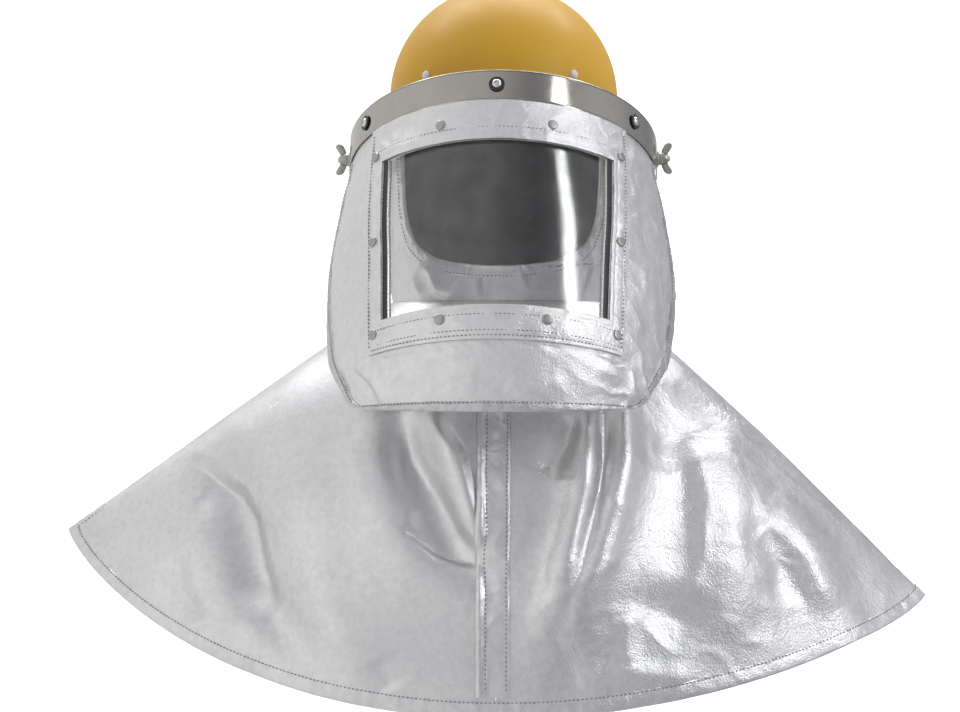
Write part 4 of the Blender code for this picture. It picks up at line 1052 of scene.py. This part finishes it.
def bar_on_visor(name, u, half_width, high, paint):
    """An upright bar with rounded edges beside the window."""
    vs = np.linspace(WINDOW_TOP_V + 0.002, WINDOW_FOOT_V - 0.002, 60)
    points, normal = visor_line(np.full(60, u), vs)
    beside = unit(np.cross(normal, unit(np.gradient(points, axis=0))))
    shape = ((-1.0, 0.0), (-1.0, 0.55), (-0.82, 0.9), (-0.45, 1.0), (0.45, 1.0), (0.82, 0.9),
             (1.0, 0.55), (1.0, 0.0))
    sections = [points + beside * half_width * x + normal * mix(-0.0023, high, y) for x, y in shape]
    return loft(name, np.stack(sections, 1), paint)


def make_channels():
    """A near-black strip beside the lens, painted shade for the shadowed gap between the frame's edge
    and the lens, between two bright lips.
    """
    scale = WINDOW_U / (VISOR_HALF_WIDTH * math.radians(VISOR_ROWS[0].window))
    for side, sign in SIDES:
        middle = sign * (WINDOW_U - 0.0040 * scale)
        # The strip's near-black colour is painted shade that stands in for the shadow in the gap.
        strip = bar_on_visor("lens_channel_%s_rubber" % side, middle, 0.0030, 0.0006, BLACK_RUBBER_AND_SHADE)
        finish_piece(strip, "visor", "dark_rubber", "lens_channel_" + side)
        for number, offset in enumerate((-0.0036, 0.0036)):
            lip = bar_on_visor("channel_lip_%s_%d" % (side, number), middle + offset * scale, 0.0007,
                               0.0013, BRIGHT)
            finish_piece(lip, "visor", "fasteners")


def turned_on(name, profile, surface, across, down, seat, paint, sides=32, ring=False):
    """A turned shape that stands on a surface."""
    at, normal = surface_line(surface, across, down)
    return spun(name, profile, at + normal * seat, normal, paint, sides, ring)


RIVETS = [(-0.44, "top"), (0.44, "top"), (-1.0, 0.10), (1.0, 0.10), (-1.0, 0.52), (1.0, 0.52),
          (-1.0, 0.95), (1.0, 0.95), (-0.44, "foot"), (0.44, "foot")]


def make_rivets():
    top = BAND_WIDTH + 0.0085 + 0.0006
    foot = WINDOW_DROP + WINDOW_HEIGHT + FRAME_FOOT - 0.0085
    profile = ((-0.0006, 0.0047), (0.0003, 0.0047), (0.0009, 0.0046), (0.0013, 0.0042),
               (0.0015, 0.0036), (0.0016, 0.0022), (0.0016, 0.0))
    for number, (side, down) in enumerate(RIVETS, 1):
        place = {"top": WINDOW_DROP - 0.0158, "foot": WINDOW_DROP + WINDOW_HEIGHT + 0.0105}.get(down)
        v = (mix(top, foot, down) if place is None else place) / VISOR_HEIGHT
        u = math.copysign((WINDOW_U + FRAME_U) / 2.0, side) if abs(side) == 1.0 else side * WINDOW_U
        name = "frame_rivet_%02d" % number
        rivet = turned_on(name + "_head", profile, visor_on, u, v, 0.0026, RIVET)
        finish_piece(rivet, "visor", "fasteners", name)


def band_line(angle, v):
    """The band follows the shield to its sides and then runs straight back."""
    inside = np.clip(angle, -math.pi / 2.0, math.pi / 2.0)
    past = np.abs(angle) - np.abs(inside)
    at = visor_at(inside, v)
    side_drop = VISOR_SIDE_DROP * VISOR["side_drop"](v)
    return at + np.stack([0.0 * past, VISOR_DEPTH * past, -side_drop * past], -1)


def make_band():
    """The polished band, rounded at its ears, with a bead along both edges and the pivots' holes."""
    reach = math.pi / 2.0 + EAR_REACH / VISOR_DEPTH
    middle = BAND_WIDTH / 2.0 / VISOR_HEIGHT
    angles = np.concatenate([np.linspace(-reach, -1.49, 22), np.linspace(-1.47, 1.47, 220),
                             np.linspace(1.49, reach, 22)])
    past = np.maximum(np.abs(angles) - (reach - BAND_WIDTH / 2.0 / VISOR_DEPTH), 0.0)
    share = np.minimum(past * VISOR_DEPTH / (BAND_WIDTH / 2.0), 0.985)
    half = middle * np.sqrt(1.0 - share * share)
    _, normal = surface_line(band_line, angles, middle)
    side = ((0.5, 1.04), (0.88, 0.98), (0.915, 0.55), (0.94, 1.0), (0.975, 0.95), (1.0, 0.75),
            (1.0, 0.4), (0.97, 0.0), (0.86, -0.0001))
    shape = [(-down, height) for down, height in side[::-1]] + [(0.0, 1.06), *side]
    sections = [band_line(angles, middle + half * down) + normal * (BAND_SEAT + BAND_WALL * height)
                for down, height in shape]
    band = loft("visor_band_steel", np.stack(sections, 1), BAND, sharp=35.0)
    for side, sign in SIDES:
        hole = spun("band_hole_" + side, ((-0.02, 0.0034), (0.02, 0.0034)),
                    (sign * VISOR_HALF_WIDTH, 0.0, 0.0), (sign, 0.0, 0.0), BAND, 32)
        cut = band.modifiers.new("hole", "BOOLEAN")
        cut.operation = "DIFFERENCE"
        cut.object = hole
        bpy.context.view_layer.objects.active = band
        with bpy.context.temp_override(object=band, active_object=band):
            bpy.ops.object.modifier_apply(modifier=cut.name)
        bpy.data.objects.remove(hole, do_unlink=True)
    finish_piece(band, "visor", "band_steel", "visor_band")


def make_band_bolts():
    middle = BAND_WIDTH / 2.0 / VISOR_HEIGHT
    bow = 0.0068 ** 2 / (2.0 * VISOR_HALF_WIDTH ** 2 / VISOR_DEPTH)
    seat = BAND_SEAT + BAND_WALL + PLAY + bow
    ring = ((0.0, 0.0044), (0.0, 0.0068), (0.0007, 0.0070), (0.0013, 0.0067), (0.0015, 0.0060),
            (0.0014, 0.0044))
    head = ((-0.0004, 0.0), (-0.0004, 0.0042), (0.0013, 0.00425), (0.0021, 0.0039),
            (0.0028, 0.0031), (0.0032, 0.0022), (0.0032, 0.0020), (0.0017, 0.0019), (0.0017, 0.0))
    for name, sign in (("centre", 0.0),) + SIDES:
        place = (visor_at, math.radians(57.0) * sign, middle, seat)
        washer = turned_on("band_washer_%s_ring" % name, ring, *place, BLACK_RUBBER_AND_SHADE, 40, True)
        finish_piece(washer, "visor", "dark_rubber", "band_washer_" + name)
        bolt = turned_on("band_bolt_%s_head" % name, head, *place, BRIGHT, 40)
        finish_piece(bolt, "visor", "fasteners", "band_bolt_" + name)


# Helmet's studs and the pivots

STUD_ANGLE = math.tau * 3 / 28


def make_studs():
    profile = ((-0.0012, 0.0), (-0.0012, 0.0040), (0.0012, 0.0040), (0.0021, 0.0035),
               (0.0027, 0.0025), (0.0030, 0.0012), (0.0031, 0.0))
    z = 0.068
    scale = float(helmet_scale(np.array(z)))
    sizes = np.array([DOME_RADIUS, DOME_HALF_LENGTH, DOME_RADIUS])
    middle = np.array([0.0, DOME_Y, DOME_Z])
    for side, sign in SIDES:
        place = np.array([DOME_RADIUS * scale * math.sin(STUD_ANGLE) * sign,
                          DOME_Y - DOME_HALF_LENGTH * scale * math.cos(STUD_ANGLE), z])
        away = unit((place - middle) / sizes ** 2)
        stud = spun("helmet_stud_%s_dome" % side, profile, place, away, STUD, 32)
        finish_piece(stud, "hood", "pale_stud", "helmet_stud_" + side)


WASHER_FOOT = VISOR_HALF_WIDTH + BAND_SEAT + BAND_WALL + PLAY
WASHER_WALL = 0.0012
NUT_FOOT = WASHER_FOOT + WASHER_WALL + PLAY
NUT_LENGTH = 0.0085


def make_wing_nut(side, sign):
    profile = ((0.0, 0.0034), (0.0, 0.0060), (0.0004, 0.0062), (0.0036, 0.0060), (0.0062, 0.0054),
               (0.0079, 0.0047), (NUT_LENGTH, 0.0041), (NUT_LENGTH, 0.0034))
    nut = spun("wing_nut_%s_body" % side, profile, (sign * NUT_FOOT, 0.0, 0.0), (sign, 0.0, 0.0),
               WING, 36, True)
    pieces = [nut]
    outline = np.array([(0.0012, 0.0035), (0.0030, 0.0086), (0.0046, 0.0122), (0.0070, 0.0143),
                        (0.0100, 0.0149), (0.0122, 0.0137), (0.0126, 0.0112), (0.0112, 0.0088),
                        (0.0094, 0.0062), (0.0080, 0.0036)])
    middle = np.mean(outline, 0)
    for way in (-1.0, 1.0):
        sections = []
        for y, size in ((-0.0012, 0.84), (-0.0009, 0.97), (0.0, 1.0), (0.0009, 0.97), (0.0012, 0.84)):
            line = middle + (outline - middle) * size
            sections.append([(sign * (NUT_FOOT + x), y, way * z) for x, z in line])
        pieces.append(loft("wing", np.array(sections), WING, sharp=50.0))
    with bpy.context.temp_override(active_object=nut, selected_editable_objects=pieces):
        bpy.ops.object.join()
    finish_piece(nut, "hood", "fasteners", "wing_nut_" + side)


def make_pivots():
    bolt_end = NUT_FOOT + NUT_LENGTH + 0.0022
    bracket_face = VISOR_HALF_WIDTH + BAND_SEAT - 0.0009 - PLAY
    head_top = bracket_face - 0.0023
    bolt = ((head_top - 0.003, 0.0), (head_top - 0.003, 0.0055), (head_top - 0.0024, 0.0060),
            (head_top, 0.0060), (head_top, 0.0030), (bolt_end - 0.0006, 0.0030),
            (bolt_end, 0.0024), (bolt_end, 0.0))
    washer = [(WASHER_FOOT + height, radius) for height, radius in (
        (0.0, 0.0034), (0.0, 0.0083), (0.0003, 0.0085), (0.0009, 0.0085), (WASHER_WALL, 0.0082),
        (WASHER_WALL, 0.0034))]
    for side, sign in SIDES:
        for name, form, profile, sides, ring in (("pivot_bolt_", "_shank", bolt, 32, False),
                                                 ("pivot_washer_", "_ring", washer, 40, True)):
            made = spun(name + side + form, profile, (0.0, 0.0, 0.0), (sign, 0.0, 0.0), BRIGHT, sides,
                        ring)
            finish_piece(made, "hood", "fasteners", name + side)
        make_wing_nut(side, sign)
        bracket = bpy.data.objects["pivot_bracket_" + side]
        bracket.data.materials.clear()
        bracket.data.materials.append(BRIGHT)


# Cowl

def cowl_angle(u, z):
    """u goes once round, from -1 at the back over 0 at the front; the opening's edge is at 1/4."""
    below = (FACE_BOTTOM_Z - z) / (FACE_BOTTOM_Z - NECK_Z)
    opening = mix(face_angle(z), math.radians(25.0), smooth(below))
    size = np.abs(u)
    angle = np.where(size <= 0.25, opening * size / 0.25,
                     mix(opening, math.pi, (size - 0.25) / 0.75))
    return angle * np.sign(u)


COWL_CREASES = [
    Crease("right crumpled fold", [(56, -72), (64, -100), (58, -135)], 8, 5.0, -0.5),
    Crease("right crumpled valley", [(74, -70), (80, -104), (70, -138)], 7, -3.5, 0.0),
    Crease("left chin fold", [(-70, -60), (-62, -100), (-50, -138)], 9, 3.0, 0.3),
    Crease("chin seam", [(-19, -106), (-16, -140)], 4, 2.6, 0.0),
    Crease("chin dent", [(12, -116), (20, -140)], 7, -1.6, 0.2),
]


def cowl_height(points, angle, z):
    x, high = front_view(points)
    front = smooth(np.cos(angle) / 0.2)
    down = smooth((COWL_TOP_Z - 0.01 - z) / 0.04)
    foot = smooth((z - NECK_Z) / 0.012)
    height = crease_height(COWL_CREASES, x, high) * front
    edge = np.abs(np.abs(angle) - face_angle(np.maximum(z, FACE_BOTTOM_Z))) * 0.10
    open_part = smooth((z - FACE_BOTTOM_Z + 0.02) / 0.02)
    gather = noise(np.stack([z / 0.006, angle * 3.0, 0.0 * z], -1), 91)
    height += 0.0011 * gather * bump_at(edge, 0.012, 0.009) * open_part
    height += creases(points, 0.042, 93) * 0.0026 + noise(points / 0.03, 95) * 0.0020
    height += noise(points / 0.012, 97) * 0.0006
    return height * down * foot - 0.0003


def make_cowl():
    columns = row_places((-1.0, -0.25, 0.25, 1.0), (110, 44, 110))[:-1]
    levels = row_places((COWL_TOP_Z, FACE_BOTTOM_Z, NECK_Z + 0.0003), (70, 16))
    u, z = np.meshgrid(columns, levels)
    angle = cowl_angle(u, z)
    base = cowl_at(angle, z)
    points = base + normals_of(base, True) * cowl_height(base, angle, z)[..., None]
    after = np.roll(columns, -1)
    across = np.abs(columns + after) / 2.0
    across[-1] = 1.0
    down = (levels[:-1] + levels[1:]) / 2.0
    there = ~((down > FACE_BOTTOM_Z)[:, None] & (across < 0.25)[None, :])
    cowl = sheet("cowl_cloth", points, CLOTH, FOIL, there, True, LINING)
    finish_piece(cowl, "hood", "foil_cloth", "cowl")
    return cowl, cloth_area(np.concatenate([points, points[:, :1]], 1), there)


def make_face_tape():
    """The gathered fold round the face opening, and its stitches."""
    levels = np.concatenate([np.linspace(COWL_TOP_Z - 0.016, FACE_BOTTOM_Z + 0.0016, 120),
                             np.linspace(FACE_BOTTOM_Z + 0.0014, FACE_BOTTOM_Z, 12)])
    angles = face_angle(levels)
    floor = np.linspace(angles[-1], -angles[-1], 18)[1:-1]
    angle = np.concatenate([angles, floor, -angles[::-1]])
    z = np.concatenate([levels, np.full(16, FACE_BOTTOM_Z), levels[::-1]])
    for _ in range(3):
        z[1:-1] = (z[:-2] + z[1:-1] * 2.0 + z[2:]) / 4.0
    run = np.stack([np.gradient(angle) * 0.1, np.gradient(z)], -1)
    away = unit(np.stack([-run[:, 1], run[:, 0]], -1))
    edge, normal = surface_line(cowl_at, angle, z, 0.01, -0.002)
    inner, line = [cowl_at(angle + away[:, 0] * inset / 0.1, z + away[:, 1] * inset)
                   for inset in (0.011, 0.0088)]
    tape = ribbon("face_opening_tape", edge, inner, normal, FOIL, 0.0011, ruffle=0.0016)
    finish_piece(tape, "hood", "foil_cloth", "face_opening_binding")
    line = line + normal * 0.0013
    return [tape, stitches("face_opening_stitches", line, normal, 0.0036, "hood")]


def make_hem():
    """The folded hem, all the way round, with its row of stitches."""
    front = side_line(-1.0, 1.0, 330)
    back = side_line(1.0, -1.0, 330, back=True)[1:-1]
    inner_drop = 1.0 - HEM_WIDTH / (NECK_Z - FRONT_HEM_Z)
    drops = np.array([inner_drop - 0.02, inner_drop, inner_drop + 0.004, 1.0 - 0.006, 1.0])
    points = cape_surface(*np.meshgrid(np.concatenate([front, back]), drops))
    normal = normals_of(points, True)[2]
    tape = ribbon("cape_hem_tape", points[4], points[1], normal, FOIL, 0.0009, closed=True,
                  ruffle=0.0012)
    finish_piece(tape, "hood", "foil_cloth", "cape_hem")
    line = mix(points[4], points[1], 0.86) + normal * 0.0011
    return [tape, stitches("cape_hem_stitches", line, normal, 0.0038, "hood")]


def make_shoulder_strip():
    """The narrow tape over the left shoulder seam, from the tip halfway up, with its stitches."""
    drops = np.linspace(0.60, 0.985, 150)
    edge, normal = cape_line(np.full(150, -math.pi / 2.0 + 0.004), drops)
    inner, _ = cape_line(np.full(150, -math.pi / 2.0 + 0.20), drops)
    inner = edge + unit(inner - edge) * 0.0075
    tape = ribbon("shoulder_strip_tape", edge, inner, normal, FOIL, 0.0009, ruffle=0.0008)
    finish_piece(tape, "hood", "foil_cloth")
    line = mix(edge, inner, 0.75) + normal * 0.0011
    return [tape, stitches("shoulder_strip_stitches", line, normal, 0.0040, "hood")]


def frame_stitches():
    """The two rows round the frame, the row over the window and the rows under it."""
    rows = []
    wide = np.linspace(-1.0, 1.0, 200)
    inset = 0.0035 / VISOR_HEIGHT
    for name, v, reach in (("over_window", WINDOW_TOP_V - 0.0105 / VISOR_HEIGHT, FRAME_U - 0.03),
                           ("under_window", WINDOW_FOOT_V + 0.008 / VISOR_HEIGHT, FRAME_U - 0.03),
                           ("frame_foot", FRAME_FOOT_V - inset, FRAME_U - 0.02),
                           ("frame_foot_upper", FRAME_FOOT_V - 2.2 * inset, FRAME_U - 0.03)):
        line, normal = visor_line(wide * reach, np.full(200, v), 0.0026)
        rows.append(stitches(name + "_stitches", line, normal, 0.0036, "visor"))
    tall = np.linspace(FRAME_TOP_V + 0.01, FRAME_FOOT_V - 0.01, 160)
    for side, sign in SIDES:
        line, normal = visor_line(np.full(160, sign * (FRAME_U - 0.022)), tall, 0.0026)
        rows.append(stitches("frame_side_%s_stitches" % side, line, normal, 0.0036, "visor"))
    return rows


def placket_stitches(points):
    normal = normals_of(points)
    return [stitches(name, points[:, column] + normal[:, column] * 0.0003, normal[:, column], 0.0040,
                     "hood")
            for name, column in (("placket_right_stitches", -5), ("placket_left_stitches", 9))]


def main():
    make_stage()
    make_camera()
    make_helmet()
    make_studs()
    make_pivots()
    make_band()
    make_band_bolts()
    surround, strip = make_shield()
    shield_tape = make_shield_tape()
    make_lens()
    make_channels()
    make_rivets()
    frame_rows = frame_stitches()
    cowl = make_cowl()
    face_tape = make_face_tape()
    cape = make_cape()
    hem = make_hem() + make_shoulder_strip()
    placket, placket_points = make_placket()
    finish_piece(placket, "hood", "foil_cloth", "front_placket")
    placket_rows = placket_stitches(placket_points)


main()
